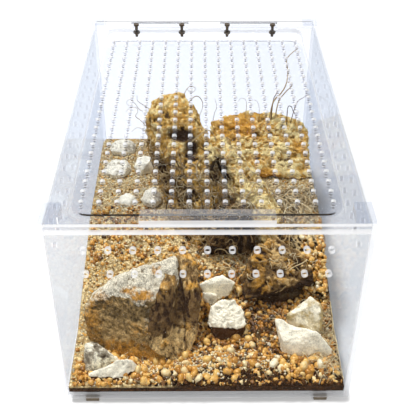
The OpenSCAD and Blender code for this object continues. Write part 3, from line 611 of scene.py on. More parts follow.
def weathered():
    """Stone and bark tones: a base colour with pale, stained and dark parts, each set by a mark on the piece and
    broken up by noise. The dark parts are mostly painted shade in hollows, furrows and fine pits, and partly dark
    specks and dark tone."""

    def fill(g, i):
        place, scale = i["Place"], i["Scale"]
        cloud = g.noise(place, scale, 5.0, 0.62)
        fine = g.noise(place, g.times(scale, 4.3), 4.0, 0.7)
        grit = g.add("TexVoronoi", {"Vector": place, "Scale": g.times(scale, 7.0)}).outputs["Distance"]
        spread = g.sum("MULTIPLY_ADD", g.sum("SUBTRACT", cloud, 0.5), i["Break"], 0.0)
        pale = g.between(g.sum("ADD", i["Pale"], spread), 0.3, 0.7)
        stain = g.between(g.sum("SUBTRACT", i["Stain"], spread), 0.2, 0.85)
        tone = g.mix(stain, g.mix(pale, i["Base"], i["Pale Colour"]), i["Stain Colour"])
        broad = g.between(cloud, 0.3, 0.7, 0.78, 1.12)
        level = g.sum("MULTIPLY_ADD", g.between(fine, 0.3, 0.7, -0.24, 0.2), i["Contrast"], broad)
        tone = g.mix(1.0, tone, g.add("CombineColor", {0: level, 1: level, 2: level}).outputs[0], "MULTIPLY")
        # painted shade: the fine pits and the piece's shade mark darken the tone towards the dark colour
        depth = g.sum("MULTIPLY_ADD", g.between(fine, 0.25, 0.45, 0.5, 0.0), i["Contrast"], i["Cavity"])
        speck = g.between(g.sum("ADD", grit, g.times(cloud, 0.3)), 0.16, 0.3, 0.38, 0.0)
        tone = g.mix(g.between(g.sum("ADD", depth, speck), 0.05, 1.0), tone, i["Dark Colour"])
        height = g.sum("ADD", g.times(cloud, 0.5), g.times(fine, 0.5))
        return {"Color": tone, "Height": height, "Roughness": g.between(fine, 0.2, 0.8, 0.72, 0.95)}

    inputs = {"Place": "Vector", "Scale": 180.0, "Break": 0.9, "Contrast": 1.0}
    inputs.update(dict.fromkeys(("Pale", "Stain", "Cavity"), 0.0))
    inputs.update(dict.fromkeys(("Base", "Pale Colour", "Stain Colour", "Dark Colour"), "Color"))
    return group("Weathered surface", inputs, {"Color": "Color", "Height": "Float", "Roughness": "Float"}, fill)


def grains():
    """Loose grains: each cell of a fine pattern takes its own tone between two colours, with painted shade in
    the gaps between them.
    """

    def fill(g, i):
        cell = g.add("TexVoronoi", {"Vector": i["Place"], "Scale": i["Scale"]}).outputs
        pick = g.add("SeparateColor", {0: cell["Color"]}).outputs[0]
        cloud = g.noise(i["Place"], g.times(i["Scale"], 0.12), 3.0)
        share = g.sum("ADD", g.times(pick, 0.75), g.times(cloud, 0.5))
        tone = g.mix(g.between(share, 0.25, 1.0), i["Dark Colour"], i["Light Colour"])
        tone = g.mix(g.between(pick, 0.86, 0.95), tone, i["Rich Colour"])
        # painted shade: the gap colour darkens the edge of each grain
        tone = g.mix(g.between(cell["Distance"], 0.35, 0.75, 0.0, 0.55), tone, i["Gap Colour"])
        return {"Color": tone, "Height": g.sum("SUBTRACT", 1.0, cell["Distance"])}

    inputs = {"Place": "Vector", "Scale": 600.0}
    inputs.update(dict.fromkeys(("Dark Colour", "Light Colour", "Rich Colour", "Gap Colour"), "Color"))
    return group("Loose grains", inputs, {"Color": "Color", "Height": "Float"}, fill)


def handling():
    """Marks of use on a moulded or polished surface: a faint cloud and fine streaks that lift the roughness."""

    def fill(g, i):
        cloud = g.noise(i["Place"], 45.0, 3.0)
        streak = g.noise(g.stretch(i["Place"], (6.0, 0.7, 0.7), (0, 0, 0.5)), 420.0, 3.0)
        level = g.sum("ADD", g.between(cloud, 0.35, 0.75), g.between(streak, 0.62, 0.8))
        return {"Roughness": g.sum("MULTIPLY_ADD", level, i["Spread"], i["Level"])}

    return group("Handling marks", {"Place": "Vector", "Level": 0.03, "Spread": 0.04}, {"Roughness": "Float"}, fill)


def graph_of(owner):
    """The empty node graph of a new material or world."""
    owner.use_nodes = True
    owner.node_tree.nodes.clear()
    return Graph(owner.node_tree)


def material_maker(fill):
    """Turns fill(graph, ...), which returns a shader, into a maker of materials. The maker takes a name first, and
    makes the material of that name once."""

    @wraps(fill)
    def make(name, *values, **named):
        made = bpy.data.materials.get(name)
        if made is None:
            made = bpy.data.materials.new(name)
            g = graph_of(made)
            g.add("OutputMaterial", {"Surface": fill(g, *values, **named)})
        return made

    return make


@material_maker
def weathered_material(g, scale, tones, depth, split, contrast, stretch=None):
    """Stone or bark from the shared weathered surface, with its marks read from the piece."""
    place = g.stretch(g.place(), stretch) if stretch else g.place()
    values = {"Place": place, "Scale": scale, "Break": split, "Contrast": contrast}
    values.update({name: g.mark(name.lower()) for name in ("Pale", "Stain", "Cavity")})
    values.update(zip(("Base", "Pale Colour", "Stain Colour", "Dark Colour"), tones))
    look = g.effect(weathered(), values)
    return g.surface(look["Color"], look["Roughness"], look["Height"], 0.8, depth, 0.25)


def polished(g, tint, wear, outer):
    """The flat face of a clear sheet. A thin sheet hardly shifts what stands behind it, so most light goes nearly
    straight on, and only the outer faces mirror the room."""
    values = {"Color": (*(c**0.5 for c in tint[:3]), 1.0), "Roughness": 0.0, "IOR": THIN_INDEX}
    thin = g.shader("BsdfRefraction", values)
    values = {"Base Color": tint, "Roughness": wear, "IOR": ACRYLIC_INDEX, "Transmission Weight": 1.0}
    thick = g.shader("BsdfPrincipled", {**values, "Specular Tint": (0.3, 0.3, 0.3, 1.0)})
    shine = g.shader("BsdfGlossy", {"Color": (0.9, 0.92, 0.95, 1.0), "Roughness": wear})
    slope = g.add("LayerWeight", {"Blend": 0.5}).outputs["Facing"]
    mirror = g.times(g.between(slope, 0.5, 1.0, 0.003, 0.22), outer)
    return g.blend(mirror, g.blend(ACRYLIC_SHARE, thin, thick), shine)


def painted_shade_line(g, place, normal, line, plate):
    """How dark the painted shade line under a sheet's height line is, from 0 to 1: a dark line that stands in for
    the shade and dark refraction seen in the clear sheet. It lies close under the line, on faces that look to the
    front, save the sheet's outer front edge. A plate's front edge is dark over half its height."""
    _, depth, height = g.add("SeparateXYZ", {0: place}).outputs
    front = g.add("SeparateXYZ", {0: normal}).outputs[1]
    dark = g.between(height, line - 0.0009, line - 0.0006, 0.0, 0.5)
    if plate:
        rim = g.times(g.between(height, line - 0.0016, line - 0.0013), g.between(depth, -0.132, -0.13, 1.0, 0.0))
        dark = g.sum("MAXIMUM", dark, rim)
    looks_front = g.between(front, -0.96, -0.8, 1.0, 0.0)
    under = g.between(height, line, line + 0.0003, 1.0, 0.0)
    return g.times(dark, looks_front, under, g.between(depth, -0.146, -0.143))


def sawn_edge(g, place, normal, outer, milk, within, line, plate):
    """The sawn edge of a clear sheet, or the cut of a vent: clear, and milky by a share; with a height line, a
    painted shade line lies close under it.
    """
    streak = g.noise(place, 260.0)
    milky = g.surface(g.mix(streak, (0.86, 0.87, 0.89, 1), (0.97, 0.97, 0.98, 1)), 0.35, streak, 0.3, 0.1)
    milky = g.blend(0.5, milky, g.shader("BsdfTranslucent", {"Color": (0.95, 0.96, 0.98, 1.0)}))
    clear = g.shader("BsdfTransparent", {"Color": (0.97, 0.97, 0.98, 1.0)})
    if line:
        height = g.add("SeparateXYZ", {0: place}).outputs[2]
        milk = g.between(height, line, line + 0.0003, 0.06, milk)
    # a cut met from inside the sheet shows by the share within
    edge = g.blend(g.times(g.between(outer, 0.0, 1.0, within, 1.0), milk), clear, milky)
    if line:
        # painted shade: a near-black surface under the height line, in place of the shade and dark refraction
        dark = g.shader("BsdfDiffuse", {"Color": (0.06, 0.05, 0.04, 1.0)})
        edge = g.blend(painted_shade_line(g, place, normal, line, plate), edge, dark)
    return edge


def seen_by(g, *rays):
    """1 for rays of these kinds and 0 for the others."""
    path = g.add("LightPath").outputs
    seen = path[rays[0]]
    for kind in rays[1:]:
        seen = g.sum("MAXIMUM", seen, path[kind])
    return seen


@material_maker
def clear_material(g, tint, axis=(0, 0, 1), rough=0.02, milk=0.85, line=0.0, haze=0.0, within=0.15, plate=False):
    """Clear acrylic: it bends and mirrors light where it is looked at, and lets the lamps and soft light through to
    what stands inside. Faces square to the sheet's thin axis are polished, with a slight haze. The others are its
    sawn edges, and milky; with a height line, in metres, they are milky above it only, and close below it lies a
    painted shade line."""
    coordinates = g.add("TexCoord").outputs
    place, normal = coordinates["Object"], coordinates["Normal"]
    wear = g.effect(handling(), {"Place": place, "Level": rough, "Spread": 0.02})["Roughness"]
    outer = g.sum("SUBTRACT", 1.0, g.add("NewGeometry").outputs["Backfacing"])
    across = g.add("VectorMath", {0: normal, 1: axis}, operation="DOT_PRODUCT").outputs["Value"]
    sawn = g.between(g.sum("ABSOLUTE", across), 0.35, 0.65, 1.0, haze)
    edge = sawn_edge(g, place, normal, outer, milk, within, line, plate)
    sheet = g.blend(sawn, polished(g, tint, wear, outer), edge)
    through = g.shader("BsdfTransparent", {"Color": (0.99, 0.99, 0.99, 1.0)})
    return g.blend(seen_by(g, "Is Shadow Ray", "Is Diffuse Ray"), sheet, through)


@material_maker
def plain_material(g, tone, rough, metal=0.0):
    """Rubber or metal: a tone with a slight cloud, handling marks and a fine relief."""
    place = g.place()
    wear = g.effect(handling(), {"Place": place, "Level": rough, "Spread": 0.12})["Roughness"]
    cloud = g.noise(place, 300.0)
    tone = g.mix(g.between(cloud, 0.3, 0.7), brighter(tone, 0.72), tone)
    return g.surface(tone, wear, cloud, 0.15, 0.2, metal=metal)


@material_maker
def grain_material(g, scale, tones, deep=None):
    """Sand or soil: the shared grains, turned into the deep tone where the piece's dark mark says so."""
    values = {"Place": g.place(), "Scale": scale}
    values.update(zip(("Dark Colour", "Light Colour", "Rich Colour", "Gap Colour"), tones))
    loose = g.effect(grains(), values)
    tone = loose["Color"]
    if deep:
        tone = g.mix(g.between(g.mark("dark"), 0.2, 0.9), tone, deep)
    return g.surface(tone, 0.9, loose["Height"], 0.9, 0.5, 0.25)


@material_maker
def tinted_material(g, stops, rough, scale, shine=0.5):
    """Pebbles, crumbs or roots: each one's own tint is read from a strip of tones and clouded a little."""
    cloud = g.noise(g.place(), scale, 5.0, 0.65)
    tone = g.ramp(g.sum("MULTIPLY_ADD", g.sum("SUBTRACT", cloud, 0.5), 0.32, g.mark("tint")), stops)
    darker = g.mix(1.0, tone, (0.35, 0.26, 0.18, 1), "MULTIPLY")
    tone = g.mix(g.between(cloud, 0.28, 0.5, 0.45, 0.0), tone, darker)
    return g.surface(tone, g.between(cloud, 0.2, 0.8, rough - 0.12, rough + 0.15), cloud, 0.5, 0.25, shine)


@material_maker
def floor_material(g):
    """A matt pale floor that glows a little for the rays that look at it."""
    seen = seen_by(g, "Is Camera Ray", "Is Glossy Ray")
    seen = g.sum("MULTIPLY_ADD", seen_by(g, "Is Transmission Ray"), 0.15, seen)
    tone = g.mix(g.noise(g.place(), 3.0, 2.0), (0.8, 0.8, 0.8, 1), (0.82, 0.82, 0.82, 1))
    glow = g.shader("Emission", {"Color": (1, 1, 1, 1), "Strength": g.times(seen, 0.16)})
    return g.shader("AddShader", {0: g.shader("BsdfDiffuse", {"Color": tone}), 1: glow})


def brighter(tone, factor):
    """A colour made lighter or darker."""
    return (*(min(1.0, c * factor) for c in tone[:3]), 1.0)


def bark_material():
    """The cork bark's finish."""
    c = colours()
    tones = (c["cork"], c["cork_pale"], c["cork_orange"], c["cork_dark"])
    return weathered_material("Cork bark", 260.0, tones, 1.3, 1.2, 1.7)


def root_material():
    """The roots' finish."""
    c = colours()
    stops = [(0.0, c["wood_dark"]), (0.35, c["wood"]), (0.7, c["root"]), (1.0, c["fibre"])]
    return tinted_material("Root bark", stops, 0.75, 600.0, 0.3)


def dress(material, nodes, gap=0.0):
    """Gives frame nodes one material. A gap draws each face back that far, so that clear sheets that touch keep two
    separate faces."""
    for node in nodes:
        mesh = NODES[node].data
        mesh.materials.clear()
        mesh.materials.append(material)
        if gap:
            draw = NODES[node].modifiers.new("Air gap", "DISPLACE")
            draw.direction = "NORMAL"
            draw.mid_level = 0.0
            draw.strength = -gap * MM


def called(word):
    """The frame's nodes with that word in their names."""
    return [node for node in NODES if word in node]


class ENCLOSURE_OT_sheets(bpy.types.Operator):
    """Finish the clear walls, lid, lifting strip, corner blocks and hinge leaves"""

    bl_idname = "enclosure.sheets"
    bl_label = "Clear sheets"

    def execute(self, context):
        c = colours()
        wide, deep, all_round = (1, 0, 0), (0, 1, 0), (1, 1, 1)
        # name, tint, what differs from the usual, and nodes
        sheets = (
            ("Clear side wall", "wall_tint", dict(axis=wide, milk=0.2), ["left_wall", "right_wall"]),
            # the end panels' vents are met face on, and both sides of their cut show
            ("Clear end panel", "sheet_tint", dict(axis=deep, milk=0.6, within=1.0), ["front_panel", "rear_panel"]),
            ("Clear base", "sheet_tint", dict(milk=0.8), ["base_panel"]),
            ("Clear frame", "sheet_tint", dict(milk=0.6), ["top_frame"]),
            # below the lid's and the locating plate's height lines lies their painted shade line
            ("Clear lid", "lid_tint", dict(milk=0.8, line=0.1562), ["lid_plate"]),
            ("Clear locating plate", "lid_tint", dict(milk=0.15, line=0.1545, plate=True), ["lid_locating_plate"]),
            ("Clear lifting strip", "sheet_tint", dict(milk=0.7, haze=0.05, within=0.3), ["lid_handle"]),
            # blocks and leaves have no thin axis, so all their faces are polished
            ("Clear corner block", "lid_tint", dict(axis=all_round), called("block_front") + called("block_rear")),
            ("Clear hinge leaf", "sheet_tint", dict(axis=all_round, rough=0.06), called("_leaf_")),
        )
        for name, tint, values, nodes in sheets:
            dress(clear_material(name, c[tint], **values), nodes, AIR_GAP)
        return {"FINISHED"}


class ENCLOSURE_OT_fittings(bpy.types.Operator):
    """Finish the foot pads, hinge pins, screws and nuts"""

    bl_idname = "enclosure.fittings"
    bl_label = "Feet and fixings"

    def execute(self, context):
        c = colours()
        dress(plain_material("Foot rubber", c["foot"], 0.75), called("foot_"))
        dress(plain_material("Hinge pin steel", c["pin"], 0.25, 1.0), called("hinge_pin_"))
        dress(plain_material("Dark fixing steel", c["fixing"], 0.4, 1.0), ["hinge_screws", "hinge_nuts"])
        return {"FINISHED"}


class ENCLOSURE_OT_ground(bpy.types.Operator):
    """Build the sand bed over the dark soil"""

    bl_idname = "enclosure.ground"
    bl_label = "Soil and sand bed"

    def execute(self, context):
        c = colours()
        soil, dark_sand = c["soil"], c["sand_dark"]
        # the fourth tone of each set is the gap colour, the painted shade between grains
        tones = [brighter(soil, factor) for factor in (0.45, 1.6, 2.6, 0.25)]
        dress(grain_material("Dark soil", 900.0, tones), ["soil_layer"])
        tones = (dark_sand, brighter(c["sand"], 1.12), c["amber"], brighter(dark_sand, 0.35))
        sand = grain_material("Sand", 620.0, tones, brighter(soil, 0.9))
        rows, columns, inset, underside = 224, 150, 0.3, 10.5
        deep, wide = HALF_DEPTH - inset, HALF_WIDTH - inset
        y, x = np.meshgrid(np.linspace(-deep, deep, rows), np.linspace(-wide, wide, columns), indexing="ij")
        points = np.concatenate([at(x, y, z).reshape(-1, 3) for z in (bed(x, y), underside)])
        count = rows * columns
        number = np.arange(count).reshape(rows, columns)
        here = number[:-1, :-1].ravel()
        upper = np.stack([here, here + 1, here + columns + 1, here + columns], -1)
        rim = np.concatenate([number[0], number[1:, -1], number[-1, -2::-1], number[-2:0:-1, 0]])
        after = np.roll(rim, -1)
        walls = np.stack([rim + count, after + count, after, rim], -1)
        faces = np.concatenate([upper, upper[:, ::-1] + count, walls])
        # the dark mark: darker under the gravel heap and along the front
        heap = step_up(-points[:, 1], 25, 60) * step_up(points[:, 0], -38, -15)
        # painted shadow on the sand at the foot of the chalk stone and in front of the fallen bark's underside
        foot = patch(points, (15, -110, 14), (18, 6, 8), 23, 0.5) + patch(points, (52, -78, 20), (34, 9, 10), 25, 0.5)
        front = step_up(-points[:, 1], 134, 146) * step_up(points[:, 0], -45, 25)
        dark = unit(0.75 * heap + 0.7 * foot + 0.4 * front)
        build("sand_bed", points, [faces], {"dark": dark}, sand, ["sand_bank"])
        return {"FINISHED"}


def covered(x, y):
    """True where a large piece hides the bed: inside an ellipse a little smaller than that piece's own box."""
    hidden, margin = np.zeros(len(x), bool), 3.0
    for node in ("boulder", "driftwood_slab", "stone_chalk", "cork_trunk", "cork_chunk", "cork_block", "root_stump"):
        low, high = (np.array(corner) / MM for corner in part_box(node))
        middle, half = (low + high) / 2, (high - low) / 2
        hidden |= ((x - middle[0]) / (half[0] - margin)) ** 2 + ((y - middle[1]) / (half[1] - margin)) ** 2 < 0.8
    return hidden


def scattered(count, seed, x_range, y_range, keep, bare=True):
    """Random places on the bed, kept where a random number is under keep(x, y) and, if bare, no large piece hides
    the bed. The random numbers go on from there."""
    random = np.random.default_rng(seed)
    x, y = random.uniform(*x_range, count), random.uniform(*y_range, count)
    kept = random.uniform(0, 1, count) < keep(x, y)
    x, y = x[kept], y[kept]
    if bare:
        clear = ~covered(x, y)
        x, y = x[clear], y[clear]
    return x, y, len(x), random


def heaped(x, y):
    """How thick the gravel lies, from 0 to 1: full in front and along the right wall, thin at the left and where the
    cream sand shows."""
    front = step_up(-y, 25, 60) * step_up(x, -40, -10)
    cream = patch(at(x, y), (5, -134, 0), (34, 9, 20), 17, 0.5)
    nose = step_up(-y, 112, 124)
    right = step_up(x, 68, 84) * step_up(-y, -60, 20)
    left = 0.22 * step_up(-y, -50, -5) * step_up(y, -45, -25) + 0.03
    return unit(np.maximum.reduce([front, nose, right * 0.9, left]) * (1 - 0.6 * cream))


def creamy(x, y):
    """Where the cream crumbs lie thickest, from 0 to 1."""
    return patch(at(x, y), (6, -130, 0), (40, 13, 20), 17, 0.6)


class ENCLOSURE_OT_gravel(bpy.types.Operator):
    """Scatter the pebbles, coarse grains and soil crumbs"""

    bl_idname = "enclosure.gravel"
    bl_label = "Gravel"

    def execute(self, context):
        c, s = colours(), sizes()
        brown = ((0.0, (62, 38, 12)), (0.15, (112, 72, 24)), (0.32, (172, 116, 36)))
        pale = ((0.62, (224, 184, 104)), (0.76, (230, 212, 164)), (0.9, (244, 236, 208)), (1.0, (150, 142, 124)))
        brown, pale = ([(stop, (*shade(*tone), 1)) for stop, tone in tones] for tones in (brown, pale))
        stops = [*brown, (0.48, c["amber"]), *pale]
        pebble = tinted_material("Pebbles", stops, 0.42, 520.0)
        grain = tinted_material("Coarse grains", stops, 0.7, 900.0, 0.3)
        self.layer(pebble, s["pebble_small"], s["pebble_large"])
        self.large(pebble, s["pebble_large"])
        self.coarse(grain, s["sand_grain"])
        self.crumbs(c["soil"], s["soil_crumb"])
        return {"FINISHED"}

    def layer(self, pebble, small, large):
        """The layer of small pebbles in front and along the right wall, in a front and a rear half."""
        x, y, count, random = scattered(9500, 11, (-95, 95), (-145, 30), heaped)
        width = small + (large - small) * 0.55 * random.beta(1.4, 4.2, count)
        shaded = patch(at(x, y), (38, -96, 0), (34, 28, 40), 19)
        tint = random.normal(0.4, 0.19, count) - 0.16 * shaded + 0.3 * (random.uniform(0, 1, count) > 0.93)
        places = at(x, y, bed(x, y) + width * random.uniform(0.05, 0.5, count))
        order = np.argsort(y)
        half = count // 2
        for name, part in (("gravel_front", order[:half]), ("gravel_rear", order[half:])):
            tints = unit(tint[part])
            loose_pieces(name, places[part], width[part], tints, pebble, 21 + half, flatness=0.6, chips=0.2)

    def large(self, pebble, large):
        """Large pebbles on the layer, and some more on the root nest."""
        x, y, count, random = scattered(
            520, 31, (-93, 93), (-143, -50), lambda x, y: 0.15 + 0.85 * step_up(-y, 116, 124)
        )
        width = random.uniform(0.55, 1.0, count) * large
        tint = np.clip(random.normal(0.56, 0.14, count), 0, 0.95)
        places = at(x, y, bed(x, y) + width * random.uniform(0.15, 0.4, count))
        loose_pieces("gravel_large", places, width, tint, pebble, 41, flatness=0.62, chips=0.08)
        x, y, _, random = scattered(620, 35, (76, 95), (-72, 4), lambda x, y: 0.85, bare=False)
        over = top_of("root_mat", x, y)
        x, y, over = x[over > 15], y[over > 15], over[over > 15]
        width = random.uniform(0.25, 0.75, len(x)) ** 1.4 * large
        tint = np.clip(random.normal(0.58, 0.17, len(x)), 0, 0.95)
        places = at(x, y, over + width * random.uniform(0.0, 0.4, len(x)))
        loose_pieces("gravel_on_roots", places, width, tint, pebble, 43, flatness=0.62)

    def coarse(self, grain, wide):
        """Cream crumbs in front, and coarse grains all over the bed."""
        x, y, count, random = scattered(2600, 37, (-60, 60), (-146, -112), creamy, bare=False)
        width = wide * random.uniform(0.6, 1.6, count)
        places = at(x, y, bed(x, y) + random.uniform(0.2, 2.2, count))
        loose_pieces("cream_crumbs", places, width, random.uniform(0.7, 0.95, count), grain, 45, cuts=1)
        x, y, count, random = scattered(
            8500, 51, (-96, 96), (-146, 140), lambda x, y: 0.55 + 0.45 * step_up(-x, 0, 60)
        )
        width = wide * random.uniform(0.6, 1.5, count)
        pale = random.uniform(0, 1, count) < 0.7
        tint = np.where(pale, random.uniform(0.68, 0.95, count), random.uniform(0.1, 0.7, count))
        places = at(x, y, bed(x, y) + width * 0.2)
        for name, part, seed in (("coarse_grains_left", x <= 0, 61), ("coarse_grains_right", x > 0, 62)):
            loose_pieces(name, places[part], width[part], tint[part], grain, seed, cuts=1)

    def crumbs(self, soil, wide):
        """Dark crumbs of soil along the front right."""
        stops = [(stop, brighter(soil, factor)) for stop, factor in ((0.0, 0.3), (0.6, 0.9), (1.0, 2.2))]
        crumb = tinted_material("Soil crumbs", stops, 0.85, 700.0, 0.2)
        x, y, count, random = scattered(
            1500, 71, (-60, 96), (-146, -128), lambda x, y: step_up(x, -45, 0) * step_up(-y, 128, 144), bare=False
        )
        width = wide * random.uniform(0.5, 1.5, count)
        places = at(x, y, ground(y) + random.uniform(-0.5, 1.6, count))
        loose_pieces("soil_crumbs", places, width, random.uniform(0, 1, count), crumb, 81)


def rough_stone(node, rows, columns, cells, depths, seed):
    """A stone's grid with three sizes of hollows along its normals, and how deep each point lies below them, for
    the painted shade in its hollows.
    """
    grid = round_grid(node, rows, columns)
    normal = facing(grid)
    big = layered(grid, cells[0], seed, 3)
    mid = layered(grid, cells[1], seed + 5, 4)
    low = layered(grid, cells[2], seed + 9, 3)
    height = depths[0] * (big - 0.2) + depths[1] * (mid - 0.3) + depths[2] * (low - 0.3)
    return raised(grid, normal, height), normal, step_up(-(0.55 * mid + 0.45 * low), 0.05, 0.75)


def pressed(grid, *hollows):
    """Points moved along each way by a bell of their distance from its centre, counted in half sizes: exp(-2 d^2)."""
    for centre, half, way in hollows:
        away = (((grid - np.array(centre)) / np.array(half)) ** 2).sum(-1)
        grid = grid + np.array(way, float) * np.exp(-2 * away)[..., None]
    return grid


class ENCLOSURE_OT_boulder(bpy.types.Operator):
    """Build the large split stone with its pale crust and rust stains"""

    bl_idname = "enclosure.boulder"
    bl_label = "Large stone"

    def execute(self, context):
        c, wear = colours(), sizes()["stone_wear"]
        depths = wear * np.array([1.5, 0.9, 0.5])
        grid, normal, cavity = rough_stone("boulder", 200, 300, (21, 6.0, 2.1), depths, 101)
        # a bulge low on the face, with a hollow to its left
        bulge = ((-50, -114, 31), (16, 14, 10), (0.3, -2.6, 1.2))
        grid = pressed(grid, bulge, ((-68, -111, 36), (10, 12, 8), (0.4, 2.4, -0.6)))
        x, y, z = np.moveaxis(grid, -1, 0)
        # the face's upper edge: heights along x
        edge = np.interp(x, [-92, -80, -68, -52, -34, -26, -18], [30, 43, 52, 54.5, 54, 62, 70])
        streak = layered(grid @ np.array([[0.8, 0, 0.6], [0, 1, 0], [-0.6, 0, 0.8]]), (13, 2.4, 2.2), 131, 3)
        face = (1 - step_up(z - edge, -1.5, 1.5)) * step_up(-y, 84, 92)
        grid = raised(grid, normal, 0.9 * wear * streak * face)
        pale = 1 - face * step_up(edge - z + 3.0 * layered(grid, 8, 133, 3), -1.5, 2.5)
        rim = step_up(-x, 74, 86) * step_up(-y, 70, 84)
        # the rim at the left is less pale; the patch is a painted highlight on the crest above the bulge
        pale = unit(pale * (1 - 0.55 * rim) + 0.45 * patch(grid, (-41, -110, 42), (4, 12, 13), 148, 0.6))
        stain = spots(
            grid,
            (0.9, (-46, -103, 55.5), (7.5, 8, 3.6), 141, 0.6),
            (0.75, (-56, -99, 57.5), (8, 8, 2.4), 153, 0.6),
            (0.7, (-36.5, -85, 66), (4.5, 5, 3.5), 142, 0.8),
            (0.75, (-84, -100, 28), (8, 14, 20), 143, 0.8),
            (0.95, (-60, -118, 17), (32, 10, 8), 144, 0.7),
            (0.55, (-79, -96, 46), (9, 10, 7), 150, 0.7),
            (0.5, (-50, -116, 35), (12, 8, 6), 145, 0.7),
            (0.5, (-30, -112, 22), (8, 8, 6), 147, 0.7),
        )
        # painted shade: on the face's upper left, in its fissures, under the bulge and in a line under the crust's
        # edge
        shaded = 0.4 * patch(grid, (-64, -108, 42), (20, 12, 8), 146, 0.7) + 0.45 * step_up(-streak, 0.0, 0.8)
        shaded = face * shaded + 0.3 * patch(grid, (-42, -117, 33), (10, 6, 5), 151, 0.8)
        shaded = shaded + 0.5 * face * np.exp(-(((edge - z - 2.5) / 2.2) ** 2)) * step_up(-x, 36, 46)
        grit = layered(grid, 1.8, 155, 3)
        stain = stain * np.clip(1.05 + 0.7 * layered(grid, 3.0, 157, 3), 0.3, 1.1)
        pale = unit(pale - 0.35 * step_up(-layered(grid, 2.6, 159, 3), 0.1, 0.6))
        cavity = unit(cavity * np.where(face > 0.5, 0.5, 0.4) + 0.75 * shaded + 0.4 * step_up(-grit, 0.15, 0.6))
        # the last tone, the face darkened, paints the shade
        tones = (c["face"], c["crust"], c["rust"], brighter(c["face"], 0.25))
        material = weathered_material("Split brown stone", 300.0, tones, 2.4, 1.1, 2.4)
        wrap_form("large_stone", grid, pale, stain, cavity, material, "brown_stone", "boulder")
        return {"FINISHED"}


def driftwood_marks(grid, z, furrow, lump, foot, top, light, gold, knot, dark, specks):
    """The driftwood's pale, stain and dark marks: pale at its foot and top, golden at the top and at a knot, and
    dark in its furrows as painted shade, between foot and top and in the specks at its foot."""
    foot = 1 - step_up(z + 3 * lump, *foot)
    top = step_up(z + 3 * lump, *top)
    pale = unit(foot * (1.0 + 0.5 * furrow + 0.3 * lump) + top * (light[0] + light[1] * furrow))
    stain = gold * top * step_up(lump, -0.3, 0.5) + knot[0] * patch(grid, *knot[1:])
    cavity = dark[0] * step_up(-furrow, 0.0, 0.6) * (1 - 0.6 * foot) + dark[1] * (1 - top) * (1 - foot)
    share, seed, *span = specks
    return pale, stain, cavity + share * foot * step_up(layered(grid, 1.9, seed, 2), *span)


class ENCLOSURE_OT_driftwood(bpy.types.Operator):
    """Build the upright slab of driftwood against the large stone"""

    bl_idname = "enclosure.driftwood"
    bl_label = "Driftwood slab"

    def execute(self, context):
        c, ridge = colours(), sizes()["bark_ridge"]
        tones = (c["wood"], c["wood_pale"], c["cork_orange"], c["wood_dark"])
        material = weathered_material("Weathered driftwood", 300.0, tones, 1.2, 1.0, 2.2, (1, 1, 1.8))
        self.slab(material, ridge)
        self.apron(material, ridge)
        return {"FINISHED"}

    def slab(self, material, ridge):
        """The slab itself: pale at its foot and top, with furrows from top to bottom."""
        grid = round_grid("driftwood_slab", 190, 170)
        furrow, lump = layered(grid, (2.0, 2.4, 6.5), 201, 4), layered(grid, 7, 203, 4)
        grid = raised(grid, facing(grid), 0.3 * ridge * furrow + 0.55 * ridge * (lump - 0.2))
        pale, stain, cavity = driftwood_marks(
            grid, grid[..., 2], furrow, lump, foot=(25, 33), top=(42, 52), light=(0.35, 0.5), gold=0.6,
            knot=(0.5, (-15, -108, 30), (5, 8, 5), 207, 0.6), dark=(0.75, 0.45), specks=(0.4, 209, 0.05, 0.5),
        )
        wrap_form("driftwood", grid, pale, stain, unit(cavity), material, "driftwood", "driftwood_slab")

    def apron(self, material, ridge):
        """The slab's torn left side, which lies over the large stone's right facet. At height z it runs from
        x = left(z) to the slab; its front stands a little in front of the stone and its back lies in it."""
        rows, columns, highest, lowest = 110, 90, 65.5, 15.5
        z = np.linspace(highest, lowest, rows)[:, None]
        u = angles(columns)[None, :]
        heights = [-68, -62, -57, -52, -44, -36, -30, -26, -22, -19, -15]
        left = np.interp(-z, heights, [-31, -31.5, -35, -38, -40, -42.5, -45.5, -42, -38, -30, -24])
        line = at(0 * z, 0 * z, z)
        left = left + 1.3 * (field(line, 4.0, 221) + 0.6 * field(line, 1.8, 223))
        right = np.interp(z, [44, 56, 62, 66], [-15, -19, -21, -26])
        across = (left + right) / 2 - (right - left) / 2 * np.cos(u)
        solid = np.concatenate([triangles_of("boulder"), triangles_of("driftwood_slab")])
        behind = -58.0
        front = behind - reach(at(across, behind, z), (0.0, -1.0, 0.0), solid)
        front = eased(np.minimum(front, -64), 2)
        ends = np.minimum(1, np.minimum((highest - z) / 6.0, (z - lowest) / 3.0))
        thick = 3.2 * np.sign(np.sin(u)) * np.abs(np.sin(u)) ** 0.6 * ends
        grid = at(across, front - np.where(thick > 0, thick, 0.4 * thick) + 0.4, z)
        furrow, lump = layered(grid, (2.0, 2.4, 6.5), 225, 4), layered(grid, 6, 227, 4)
        outer = np.clip(np.sin(u) * 3, 0, 1) * ends
        grid = raised(grid, -np.array([0.2, 0.9, -0.4]), ridge * outer * (0.5 * furrow + 0.8 * lump))
        pale, stain, cavity = driftwood_marks(
            grid, z, furrow, lump, foot=(27, 36), top=(50, 60), light=(0.25, 0.4), gold=0.45,
            knot=(0.6, (-30, -118, 27), (4, 8, 4), 231, 0.6), dark=(0.8, 0.5), specks=(0.35, 229, 0.0, 0.45),
        )
        # painted shade along the torn left edge, where it lies against the large stone
        torn = step_up(-np.cos(u), 0.8, 0.97)
        wrap_form("driftwood_apron", grid, pale, stain, unit(cavity + 0.6 * torn), material, "driftwood")


